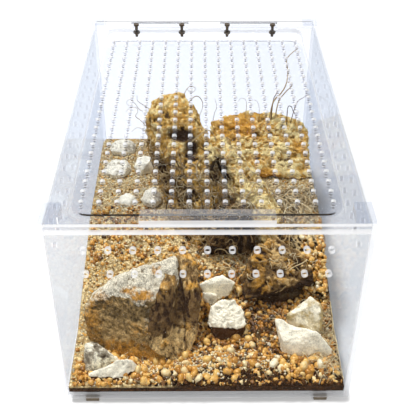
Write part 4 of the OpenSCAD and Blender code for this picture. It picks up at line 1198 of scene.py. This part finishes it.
class ENCLOSURE_OT_stones(bpy.types.Operator):
    """Build the pale limestone pieces"""

    bl_idname = "enclosure.stones"
    bl_label = "Pale stones"

    def execute(self, context):
        c, wear = colours(), sizes()["stone_wear"]
        # the dark tone, the brown foot's colour darkened, is the painted shade in the hollows
        dark = brighter(c["underside"], 0.4)
        tones = (c["limestone_dark"], c["limestone"], c["underside"], dark)
        cream = weathered_material("Pale limestone", 230.0, tones, 0.6, 0.6, 0.8)
        grey = weathered_material("Speckled limestone", 330.0, (c["grey_stone"], *tones[1:]), 0.9, 1.2, 1.6)
        # node, roughness, how pale it is, height under which its foot is brown, how speckled, and its finish
        stones = [
            ("stone_triangle", 0.6, 0.4, 0, 0.5, grey),
            ("stone_long", 0.5, 1.0, 15.0, 0.1, cream),
            ("stone_split_upper", 0.4, 1.1, 0, 0.05, cream),
            ("stone_split_lower", 0.3, 1.0, 0, 0.05, cream),
            ("stone_chalk", 1.0, 1.0, 22.6, 0.1, cream),
            ("stone_saddle", 0.35, 1.15, 0, 0.0, cream),
            ("stone_wedge", 0.3, 0.5, 0, 0.0, cream),
            ("stone_rear_corner", 0.4, 0.6, 0, 0.05, grey),
            ("stone_rear_wide", 0.4, 0.7, 0, 0.05, grey),
            ("stone_rear_pale", 0.25, 1.2, 0, 0.0, cream),
            ("stone_mid_flat", 0.45, 1.0, 0, 0.0, cream),
            ("stone_mid_mound", 0.5, 0.9, 0, 0.05, grey),
        ]
        hollows = {
            # the notch between its two peaks, the hollow of the face under it, and its left peak
            "stone_saddle": (
                ((62, -110, 35), (11, 16, 9), (0, 0.5, -5.0)),
                ((64, -116, 28), (9, 6, 8), (0, 2.2, -0.5)),
                ((52.5, -108, 37), (5, 6, 5), (-0.5, 0, 1.6)),
            ),
            "stone_split_upper": (((2, -66, 33), (3, 9, 6), (0, 0.6, -2.2)),),
        }
        for number, (node, rough, light, brown, speckle, material) in enumerate(stones):
            seed = 301 + 20 * number
            depths = rough * wear * np.array([1, 0.8, 0.4])
            grid, normal, cavity = rough_stone(node, 96, 130, (14, 4.5, 1.6), depths, seed)
            grid = pressed(grid, *hollows.get(node, ()))
            cloud = layered(grid, 6, seed + 3, 4)
            pale = unit(light + 0.4 * cloud)
            z = grid[..., 2]
            stain = 1 - step_up(z + 1.2 * cloud, brown - 0.8, brown + 0.8) if brown else 0 * z
            # painted shade: the wedge's faces that turn to the right are darker and browner
            if node == "stone_wedge":
                pale = pale * (1 - 0.8 * step_up(normal[..., 0], 0.0, 0.25))
                stain = 0.2 * step_up(normal[..., 0] + 0.2 * cloud, 0.0, 0.3)
            # painted shade: the faces that turn right and down are darker
            if node == "stone_split_upper":
                pale = pale * (1 - 0.8 * step_up(normal[..., 0] - normal[..., 2] * 0.4, 0.1, 0.4))
            # painted shade in the hollows, and dark specks on the speckled stones
            cavity = unit(cavity * 0.35 + speckle * step_up(-cloud, 0, 0.5))
            label = node.replace("stone_", "limestone_")
            wrap_form(label, grid, pale, stain, cavity, material, "pale_stone", node)
        return {"FINISHED"}


class ENCLOSURE_OT_cork(bpy.types.Operator):
    """Build the cork trunk, arch, block and fallen chunk"""

    bl_idname = "enclosure.cork"
    bl_label = "Cork bark"

    def execute(self, context):
        for build_part in (self.trunk, self.arch, self.block, self.chunk):
            build_part(sizes()["bark_ridge"])
        return {"FINISHED"}

    def trunk(self, ridge):
        """Lumps and crumbs, long furrows along it, three hollows, and a dark band low on its left; its pits and
        hollows are darkened as painted shade.
        """
        grid = log_grid("cork_trunk", (3, -4, 24), (-32, 62, 126), 200, 210)
        normal = facing(grid)
        turned = grid @ np.linalg.qr(np.array([[-0.276, 0.9, 0], [0.53, 0.3, 0], [0.8, 0, 1]]))[0]
        furrow, lump = layered(turned, (14, 4, 4), 401, 3), layered(grid, 12, 403, 3)
        crumb, grit = layered(grid, 3.6, 407, 3), layered(grid, 1.7, 408, 2)
        hollow = spots(
            grid,
            (1, (-19, 29, 110), (9.5, 14, 4.5), 405, 0.6),
            (1, (-11, 24, 103), (6, 14, 6), 406, 0.6),
            (1, (9.6, 17, 82.4), (8, 10, 9), 409, 0.4),
        )
        # partly a dark mottle, partly painted shade on the trunk's upper left
        mottle_and_shade = patch(grid, (-34, 34, 112), (14, 14, 6), 410, 0.8)
        height = 0.3 * furrow + 0.7 * (lump - 0.2) + 0.45 * crumb + 0.3 * grit
        grid = raised(grid, normal, ridge * height - 3.2 * hollow)
        x, z = grid[..., 0], grid[..., 2]
        band = 1 - step_up(np.abs(x + 42 - (93 - z) * 0.9 + 3 * lump), 4, 12)
        band = band * (z < 100)
        low = 1 - step_up(z + 8 * lump, 72, 100)
        # painted shade in the pits and the three hollows
        pits = step_up(-(0.45 * furrow + 0.6 * crumb + 0.3 * lump + 0.3 * grit), 0.1, 0.7)
        cavity = unit(pits * (0.8 + 0.3 * low) + 1.0 * hollow + 0.5 * band + 0.25 * low + 0.35 * mottle_and_shade)
        pale = unit(0.36 + 0.5 * crumb + 0.35 * lump + 0.2 * grit - 0.6 * band - 0.3 * low)
        stain = unit(0.3 * lump + 0.35) * (1 - band) * (1 - 0.4 * low)
        wrap_form("cork_log", grid, pale, stain, cavity, bark_material(), "cork", "cork_trunk")
        low_front = (grid[..., 2] < 96) & (normal[..., 1] < 0.5) & (normal[..., 2] > -0.5)
        strands("trunk_strands", grid, normal, low_front, 420, (7, 26), 13, 0.7, 1.3, (0.5, 1.3), 0.55, 441)

    def arch(self, ridge):
        """Grain that runs along the branch, and two hollows on its left side; its furrows and hollows are darkened as
        painted shade.
        """
        grid = log_grid("cork_arch", (-2, 41, 91), (56, -14, 34), 170, 180, bow=(0, 0, 4))
        normal = facing(grid)
        way = np.array([0.594, -0.563, -0.574])
        side = normed(np.cross(way, [0, 0, 1]))
        turned = grid @ np.stack([way, side, np.cross(way, side)], 1)
        furrow, lump = layered(turned, (17, 3.4, 3.4), 411, 4), layered(grid, 9, 413, 3)
        crumb, grit = layered(grid, 3.2, 417, 3), layered(grid, 1.7, 418, 2)
        hollow = patch(grid, (9, 17, 80), (9, 14, 13), 415, 0.4)
        low = patch(grid, (20, 12, 60), (6, 9, 6), 416, 0.4)
        height = 0.34 * furrow + 0.6 * (lump - 0.2) + 0.32 * crumb + 0.28 * grit
        grid = raised(grid, normal, ridge * height - 3.5 * np.maximum(hollow, low))
        cavity = unit(step_up(-(0.55 * furrow + 0.5 * crumb + 0.3 * grit), 0.2, 0.85) * 0.7 + 1.3 * hollow + low)
        pale = unit(0.6 + 0.4 * furrow + 0.3 * crumb + 0.2 * grit)
        wrap_form("cork_arch_bark", grid, pale, unit(0.2 + 0.3 * lump), cavity, bark_material(), "cork", "cork_arch")
        upper = normal[..., 2] > -0.3
        strands("arch_strands", grid, normal, upper, 110, (8, 26), 13, 0.7, 1.8, (0.4, 1.0), 0.8, 445)

    def block(self, ridge):
        """Crumbled layers, golden at the upper left and paler to the right."""
        grid = round_grid("cork_block", 180, 280)
        layer, lump = layered(grid, (12, 12, 3.2), 421, 4), layered(grid, 10, 423, 4)
        crumb, grit = layered(grid, 2.8, 425, 3), layered(grid, 1.7, 426, 2)
        height = 0.4 * (layer - 0.2) + 0.6 * (lump - 0.2) + 0.38 * crumb + 0.3 * grit
        grid = raised(grid, facing(grid), ridge * height)
        stain = spots(
            grid,
            (0.8, (30, 100, 76), (30, 16, 9), 427, 0.6),
            (0.8, (56, 66, 46), (10, 8, 5), 428, 0.6),
            (0.7, (86, 86, 64), (8, 10, 7), 429, 0.6),
            (0.6, (48, 78, 56), (18, 10, 4), 430, 0.6),
        )
        # painted shade in the crevices between the layers and crumbs
        cavity = unit(step_up(-(0.5 * layer + 0.5 * crumb + 0.3 * grit), 0.2, 0.85) * 0.75)
        pale = unit(0.42 + 0.4 * lump + 0.4 * crumb + 0.2 * grit + 0.2 * step_up(grid[..., 0], 30, 60))
        wrap_form("cork_block_bark", grid, pale, stain, cavity, bark_material(), "cork", "cork_block")

    def chunk(self, ridge):
        """Fine furrows that run down to the front right, darkened as painted shade, and its cut underside darkened as
        painted shade, also below its lower front edge.
        """
        grid = round_grid("cork_chunk", 150, 230)
        normal = facing(grid)
        slant = grid @ np.array([[0.8, 0.6, 0], [-0.6, 0.8, 0], [0, 0, 1]])
        furrow, lump = layered(slant, (13, 3.0, 3.0), 431, 4), layered(grid, 8, 433, 4)
        crumb = layered(grid, 2.4, 437, 3)
        grid = raised(grid, normal, ridge * (0.6 * (furrow - 0.1) + 0.5 * (lump - 0.2) + 0.35 * crumb))
        x, y, z = np.moveaxis(grid, -1, 0)
        line = np.interp(x, [28, 40, 82], [18, 25, 42])
        # painted shade on the faces that look down and below the lower front edge
        under = unit(step_up(-normal[..., 2], -0.3, 0.0) + step_up(line - z, -1, 1.5) * step_up(-y, 55, 62))
        leg = 1 - step_up(x + 0.25 * y, 24, 38)
        cavity = unit(step_up(-(0.6 * furrow + 0.5 * crumb), 0.0, 0.6) * 0.95 + 0.1 + 0.25 * leg + under)
        pale = unit(0.22 + 0.6 * furrow + 0.3 * lump + 0.3 * crumb - under - 0.3 * leg)
        stain = unit(0.15 + 0.4 * lump + 0.25 * leg) * (1 - under)
        c = colours()
        tones = (brighter(c["wood"], 0.75), c["wood_pale"], c["cork_orange"], c["wood_dark"])
        wood = weathered_material("Fallen bark", 300.0, tones, 1.4, 1.1, 1.6)
        wrap_form("fallen_bark", grid, pale, stain, cavity, wood, "cork", "cork_chunk")
        upper_left = (normal[..., 2] > 0.1) & (x < 66)
        strands("chunk_strands", grid, normal, upper_left, 46, (6, 18), 11, 0.45, 1.0, (0.5, 1.2), 0.5, 449)


def wander(starts, ways, length, stations, bend, seed):
    """Curved stems: each heads from its start along its way, swayed by sines of random rate and phase."""
    random = np.random.default_rng(seed)
    count = len(starts)
    phase = random.uniform(0, 2 * np.pi, (count, 3, 1))
    rate = random.uniform(0.6, 2.2, (count, 3, 1))
    share = np.linspace(0, 1, stations)[None, None, :]
    sway = np.sin(2 * np.pi * rate * share + phase) - np.sin(phase)
    length = length[:, None, None]
    step = np.linspace(0, 1, stations)[None, :, None] * length
    return starts[:, None] + ways[:, None] * step + bend * np.moveaxis(sway, 1, 2) * length * 0.25


def laid_stems(grid, normal, allowed, count, span, stations, bend, lift, seed):
    """Stems that lie on a closed grid. Each starts where the grid's point is allowed and walks over the grid's row
    and column numbers, its heading swayed by a sine. Each station is the mix of its four grid points, raised along
    the normal by up to lift."""
    random = np.random.default_rng(seed)
    rows, columns = grid.shape[:2]
    tall = np.linalg.norm(np.diff(grid, axis=0), axis=-1)
    wide = np.linalg.norm(grid - np.roll(grid, 1, 1), axis=-1)
    first = random.integers(2, rows - 2, count * 6), random.integers(0, columns, count * 6)
    chosen = np.flatnonzero(allowed[first])[:count]
    row, column = first[0][chosen], first[1][chosen]
    count = len(chosen)
    size = random.uniform(*span, count)[:, None] / (stations - 1)
    share = np.linspace(0, 1, stations)[None]
    phase, rate = random.uniform(0, 2 * np.pi, (count, 1)), random.uniform(0.4, 1.4, (count, 1))
    heading = random.uniform(0, 2 * np.pi, (count, 1)) + bend * np.sin(2 * np.pi * rate * share + phase)
    down = row[:, None] + np.cumsum(np.cos(heading) * size, 1) / np.maximum(tall[row, column], 0.3)[:, None]
    across = column[:, None] + np.cumsum(np.sin(heading) * size, 1) / np.maximum(wide[row, column], 0.3)[:, None]
    down = np.clip(down, 1, rows - 2.01)
    i, j = np.floor(down).astype(int), np.floor(across).astype(int)
    u, v = (down - i)[..., None], (across - j)[..., None]

    def read(a):
        here, there = a[i, j % columns], a[i, (j + 1) % columns]
        below, beyond = a[i + 1, j % columns], a[i + 1, (j + 1) % columns]
        return (here * (1 - v) + there * v) * (1 - u) + (below * (1 - v) + beyond * v) * u

    return raised(read(grid), read(normal), 0.25 + random.uniform(0, 1, (count, 1)) * lift * np.sin(np.pi * share))


def strands(name, grid, normal, allowed, count, span, stations, bend, lift, widths, light, seed):
    """Stems laid on a closed grid, of random width and of a random tint about light, held off the right wall."""
    paths = laid_stems(grid, normal, allowed, count, span, stations, bend, lift, seed)
    paths[..., 0] = np.minimum(paths[..., 0], RIGHTMOST)
    grown(name, paths, 1, widths, (light, 0.22), (0.02, 1), np.random.default_rng(seed + 2), 5)


def threaded(marks, stations):
    """A smooth path through its points: between each two it follows the cubic whose slopes are those from neighbour
    to neighbour."""
    marks = np.array(marks, float)
    padded = np.concatenate([2 * marks[:1] - marks[1:2], marks, 2 * marks[-1:] - marks[-2:-1]])
    slope = (padded[2:] - padded[:-2]) / 2
    t = np.linspace(0, len(marks) - 1, stations)
    k = np.minimum(t.astype(int), len(marks) - 2)
    u = (t - k)[:, None]
    a, b, p, q = marks[k], marks[k + 1], slope[k], slope[k + 1]
    return a * (2 * u**3 - 3 * u**2 + 1) + p * (u**3 - 2 * u**2 + u) + b * (3 * u**2 - 2 * u**3) + q * (u**3 - u**2)


# shoots that stand against the rear: thickness at the foot in millimetres, tint, and points from the foot up
SHOOTS = (
    (1.5, 0.62, (59, 106, 78), (61, 108, 92), (63, 108, 99), (69, 109, 106), (73, 112, 113), (75, 122, 120),
        (74, 130, 126), (77, 135, 130), (85, 139, 135)),
    (1.2, 0.72, (64, 107, 78), (67, 110, 96), (72, 110, 105), (77, 110, 111), (78, 110, 114), (74, 110, 116)),
    (1.0, 0.3, (61, 107, 78), (62, 109, 98), (65, 109, 106), (65, 109, 110)),
    (0.8, 0.35, (78, 105, 74), (83, 107, 96), (89, 107, 102), (94, 107, 106)),
    (0.9, 0.15, (75, 103, 74), (75, 104, 93), (78, 104, 94.5), (80, 104, 90), (83, 104, 84), (82, 103, 78)),
    (0.5, 0.6, (37, 106, 79), (38, 108, 92), (37, 108, 99), (33, 108, 101), (30, 108, 97)),
    (0.5, 0.55, (50, 106, 79), (49, 108, 94), (45, 108, 99), (41, 108, 98)),
    (0.6, 0.5, (7, 104, 76), (9, 105, 87), (11, 105, 94), (9, 105, 102)),
    (0.6, 0.6, (-20, 54, 126), (-15, 55, 138), (-11, 55, 140.5), (-8, 55, 139), (-9, 55, 136), (-12, 55, 135),
        (-15, 55, 138.5)),
    (0.8, 0.55, (-16, 52, 124), (-8, 54, 132), (-3, 54, 129), (-2, 54, 122), (-5, 52, 114)),
    (0.6, 0.5, (-43, 49, 121), (-52, 49, 128), (-55, 49, 131), (-55, 49, 136)),
    (0.6, 0.72, (-47, 45, 107), (-53, 46, 114), (-57, 46, 118), (-55, 46, 122), (-56, 46, 126), (-61, 46, 126),
        (-65, 46, 122)),
    (0.5, 0.7, (-44, 49, 119), (-53, 49, 122), (-57, 49, 128), (-61, 49, 132), (-64, 49, 129), (-62, 49, 125)),
    (0.5, 0.75, (-46, 42, 104), (-55, 43, 109), (-61, 43, 105)),
    (1.1, 0.75, (-13, 27, 103), (-6, 24, 112), (1, 24, 118), (6, 24, 115), (9, 23, 108)),
)


def gentle(over, most):
    """Which stems lie over ground that rises or falls less than most between two of their stations."""
    return np.abs(np.diff(over, axis=1)).max(1) < most


def top_of(node, x, y):
    """Height of a node's upper face over each place, found by a ray from far below; places beside it give a very low
    value."""
    below = -50.0
    return below + reach(at(x, y, below), (0.0, 0.0, 1.0), triangles_of(node))


def headed(heading, low, high, random):
    """Ways along these headings, each with its own rise between low and high."""
    return at(np.cos(heading), np.sin(heading), random.uniform(low, high, len(heading)))


class ENCLOSURE_OT_roots(bpy.types.Operator):
    """Build the root stump, the nest of roots, the thin shoots and the hair roots"""

    bl_idname = "enclosure.roots"
    bl_label = "Roots"

    def execute(self, context):
        self.masses()
        random = np.random.default_rng(541)
        self.nest(random)
        self.stump(random)
        self.hair(random)
        paths = np.stack([threaded(marks, 26) for _, _, *marks in SHOOTS])
        width, tint = np.array([shoot[:2] for shoot in SHOOTS]).T
        tubes("thin_shoots", paths, width, tint, tip=0.45)
        return {"FINISHED"}

    def masses(self):
        """The matted roots of the stump and of the nest, with tangled stems on them."""
        c = colours()
        tones = (c["wood"], c["root"], c["amber"], brighter(c["wood_dark"], 0.6))
        grid, normal = self.mass("root_stump", "root_stump_mass", "Matted root", tones, (4, 4, 12), 501, 0)
        upper = normal[..., 2] > -0.4
        strands("stump_tangle", grid, normal, upper, 90, (8, 26), 14, 1.3, 3.0, (0.5, 1.4), 0.5, 535)
        # the nest's base is the wood darkened to 0.3: painted shade inside the nest
        tones = (brighter(c["wood"], 0.3), *tones[1:])
        grid, normal = self.mass("root_mat", "root_nest_mass", "Root nest", tones, (7, 7, 4), 521, 1)
        upper_rear = (grid[..., 1] > -14) & (normal[..., 2] > -0.4)
        strands("nest_tangle", grid, normal, upper_rear, 260, (12, 42), 18, 1.3, 5.0, (0.5, 1.3), 0.65, 531)

    def mass(self, node, name, finish, tones, cell, seed, chaff):
        """One node's matted roots. With chaff, its front is gravel and chaff, and paler."""
        grid = round_grid(node, 130, 170)
        normal = facing(grid)
        strand, lump = ridged(grid, cell, seed, 3), layered(grid, 7, seed + 3, 3)
        crumb = layered(grid, 3.0, seed + 5, 3)
        grid = raised(grid, normal, 1.3 * (strand - 0.8) + 1.0 * (lump - 0.4) + 0.6 * crumb)
        loose = chaff * step_up(-grid[..., 1], 2, 14)
        # painted shade in the crevices between the strands
        cavity = unit(1.3 - 1.2 * strand + 0.25) * (1 - 0.45 * loose) - 0.15 * loose * crumb
        pale = unit(strand * 1.2 - 0.75 + loose * (0.45 + 0.5 * crumb))
        stain = np.clip(0.3 * step_up(lump, 0.2, 0.6) + loose * (0.45 + 0.6 * lump), 0, 0.9)
        material = weathered_material(finish, 320.0, tones, 1.2, 1.0, 1.5)
        wrap_form(name, grid, pale, stain, unit(cavity), material, "root", node)
        return grid, normal

    def nest(self, random):
        """Thin roots that lie on the nest at the right wall."""
        count = 160
        x, y = random.uniform(50, 93, count), random.uniform(-14, 44, count)
        starts = at(x, y, top_of("root_mat", x, y))
        starts = starts[starts[:, 2] > 20]
        count = len(starts)
        starts[:, 2] += random.uniform(-1.5, 3.0, count)
        ways = headed(random.uniform(0, 2 * np.pi, count), -0.3, 0.3, random)
        paths = wander(starts, ways, random.uniform(8, 26, count), 16, 1.15, 543)
        paths[..., 0] = np.clip(paths[..., 0], 44, 95.2)
        over = np.maximum(top_of("root_mat", paths[..., 0], paths[..., 1]), ground(paths[..., 1]))
        paths[..., 2] = np.clip(paths[..., 2], over - 1.0, over + 6.0)
        paths, thick = paths[gentle(over, 3.0)], sizes()["root_thick"]
        grown("nest_roots", paths, thick, (0.3, 0.95), (0.78, 0.18), (0.1, 1), random)

    def stump(self, random):
        """A few thick roots that arch over the stump and down its front."""
        count = 46
        x, y = random.uniform(-2, 44, count), random.uniform(-30, -6, count)
        starts = at(x, y, np.maximum(top_of("root_stump", x, y), ground(y)))
        ways = headed(random.uniform(-2.6, -0.5, count), -0.5, 0.1, random)
        paths = wander(starts, ways, random.uniform(8, 22, count), 14, 0.9, 547)
        x, y = paths[..., 0], paths[..., 1]
        over = np.maximum(top_of("root_stump", x, y), bed(x, y))
        paths[..., 2] = np.clip(paths[..., 2], over + 0.2, over + 5.0)
        paths, thick = paths[gentle(over, 5.0)], sizes()["root_thick"]
        grown("stump_roots", paths, thick, (0.4, 1.0), (0.5, 0.2), (0.1, 0.9), random)

    def hair(self, random):
        """Hair roots on the bed at the right, round the fallen bark, and here and there on the gravel."""
        count = 620
        zone = random.uniform(0, 1, count)
        zones = [zone < 0.6, zone < 0.85, zone < 2]
        x = np.select(zones, [random.uniform(low, high, count) for low, high in ((78, 95), (20, 92), (-90, 90))])
        y = np.select(zones, [random.uniform(low, high, count) for low, high in ((-140, 0), (-95, -20), (-140, 60))])
        ways = headed(random.uniform(0, 2 * np.pi, count), -0.05, 0.3, random)
        paths = wander(at(x, y), ways, random.uniform(5, 17, count), 9, 1.0, 553)
        hold_inside(paths, 1)
        x, y = paths[..., 0], paths[..., 1]
        over = np.maximum.reduce([bed(x, y), top_of("root_mat", x, y), top_of("cork_chunk", x, y)])
        lift = np.abs(paths[..., 2] - paths[:, :1, 2])
        paths[..., 2] = over + 0.8 + np.minimum(lift, 4.0)
        paths, thick = paths[gentle(over, 2.2)], sizes()["fibre_thick"]
        grown("hair_roots", paths, thick, (0.5, 1.1), (0.9, 0.12), (0.3, 1), random, 4)


def turned_to(way, place):
    """A lamp's matrix at place, its light going along way."""
    back = -way / np.linalg.norm(way)
    right = normed(np.cross([0.0, 1.0, 0.0] if abs(back[1]) < 0.9 else [1.0, 0.0, 0.0], back))
    return axes_at(place, right, np.cross(back, right), back)


def axes_at(place, *axes):
    """The matrix of an object at place with these three axes."""
    return Matrix([[*(float(axis[i]) for axis in axes), place[i]] for i in range(3)] + [[0, 0, 0, 1]])


# the camera solved from the photograph: focal length and picture width in pixels, the sensor that stands for it in
# millimetres, its place in metres, and how far it looks down, to the right and tilted, in degrees
FOCAL_PIXELS, PICTURE_PIXELS, SENSOR = 768.391, 416.0, 36.0
CAMERA_PLACE = (-0.004823, -0.504266, 0.434404)
CAMERA_TURN = (36.707, 0.7995, 0.358)


class ENCLOSURE_OT_stage(bpy.types.Operator):
    """Set the pale floor, the soft lamps, the surroundings and the camera"""

    bl_idname = "enclosure.stage"
    bl_label = "Studio"

    def execute(self, context):
        self.floor()
        self.room(context.scene)
        self.lamps()
        self.camera(context.scene)
        context.scene.view_settings.view_transform = "Standard"
        return {"FINISHED"}

    def floor(self):
        """A wide flat floor at height 0."""
        side = 30.0
        mesh = bpy.data.meshes.new("floor")
        mesh.from_pydata([(-side, -side, 0), (side, -side, 0), (side, side, 0), (-side, side, 0)], [], [(0, 1, 2, 3)])
        mesh.materials.append(floor_material("Pale floor"))
        placed("floor", mesh)

    def room(self, scene):
        """White surroundings, dimmer for the soft light than for the rays that see them."""
        world = bpy.data.worlds.new("Soft room")
        scene.world = world
        g = graph_of(world)
        seen = seen_by(g, "Is Camera Ray", "Is Glossy Ray", "Is Transmission Ray")
        strength = g.between(seen, 0.0, 1.0, 0.4, 1.0)
        g.add("OutputWorld", {"Surface": g.shader("Background", {"Color": (1, 1, 1, 1), "Strength": strength})})

    def lamps(self):
        """Two soft square lamps that look at the box."""
        target = np.array([0, 0, 0.05])
        for label, place, size, power in (
            ("key_lamp", (-0.35, 0.35, 1.2), 0.3, 19.0),
            ("front_lamp", (0.5, -0.9, 1.0), 0.7, 4.0),
        ):
            lamp = bpy.data.lights.new(label, "AREA")
            lamp.shape = "SQUARE"
            lamp.size = size
            lamp.energy = power
            placed(label, lamp).matrix_world = turned_to(target - np.array(place), place)

    def camera(self, scene):
        """The solved camera: turned to the right, down, and about its own line of sight."""
        camera = bpy.data.cameras.new("camera")
        camera.sensor_width = SENSOR
        camera.lens = FOCAL_PIXELS * SENSOR / PICTURE_PIXELS
        camera.clip_start, camera.clip_end = 0.02, 100.0
        scene.camera = placed("camera", camera)
        pitch, yaw, roll = (math.radians(angle) for angle in CAMERA_TURN)
        ahead = np.array([math.sin(yaw) * math.cos(pitch), math.cos(yaw) * math.cos(pitch), -math.sin(pitch)])
        right = np.array([math.cos(yaw), -math.sin(yaw), 0.0])
        up = np.cross(right, ahead)
        level = math.cos(roll) * right + math.sin(roll) * up
        up = -math.sin(roll) * right + math.cos(roll) * up
        scene.camera.matrix_world = axes_at(CAMERA_PLACE, level, up, -ahead)


STEPS = (
    ENCLOSURE_OT_sheets,
    ENCLOSURE_OT_fittings,
    ENCLOSURE_OT_ground,
    ENCLOSURE_OT_gravel,
    ENCLOSURE_OT_boulder,
    ENCLOSURE_OT_driftwood,
    ENCLOSURE_OT_stones,
    ENCLOSURE_OT_cork,
    ENCLOSURE_OT_roots,
    ENCLOSURE_OT_stage,
)


class ENCLOSURE_PT_panel(bpy.types.Panel):
    """Lists the enclosure's steps and their sizes and colours"""

    bl_idname = "ENCLOSURE_PT_panel"
    bl_label = "Reptile Enclosure"
    bl_space_type = "VIEW_3D"
    bl_region_type = "UI"
    bl_category = "Enclosure"

    def draw(self, context):
        column = self.layout.column()
        for step in STEPS:
            column.operator(step.bl_idname)
        owners = (context.scene.enclosure_sizes, context.scene.enclosure_colours)
        for owner, kind in zip(owners, (EnclosureSizes, EnclosureColours)):
            box = self.layout.box()
            for key in kind.__annotations__:
                box.prop(owner, key)


CLASSES = (EnclosureSizes, EnclosureColours, *STEPS, ENCLOSURE_PT_panel)


def register():
    """Makes the classes and their values known to Blender."""
    for each in CLASSES:
        bpy.utils.register_class(each)
    bpy.types.Scene.enclosure_sizes = bpy.props.PointerProperty(type=EnclosureSizes)
    bpy.types.Scene.enclosure_colours = bpy.props.PointerProperty(type=EnclosureColours)


def unregister():
    """Takes them out again."""
    del bpy.types.Scene.enclosure_colours
    del bpy.types.Scene.enclosure_sizes
    for each in reversed(CLASSES):
        bpy.utils.unregister_class(each)


def main():
    """Runs each step in order and keeps the two boxes."""
    register()
    for step in STEPS:
        area, name = step.bl_idname.split(".")
        getattr(getattr(bpy.ops, area), name)()


if __name__ == "__main__":
    main()
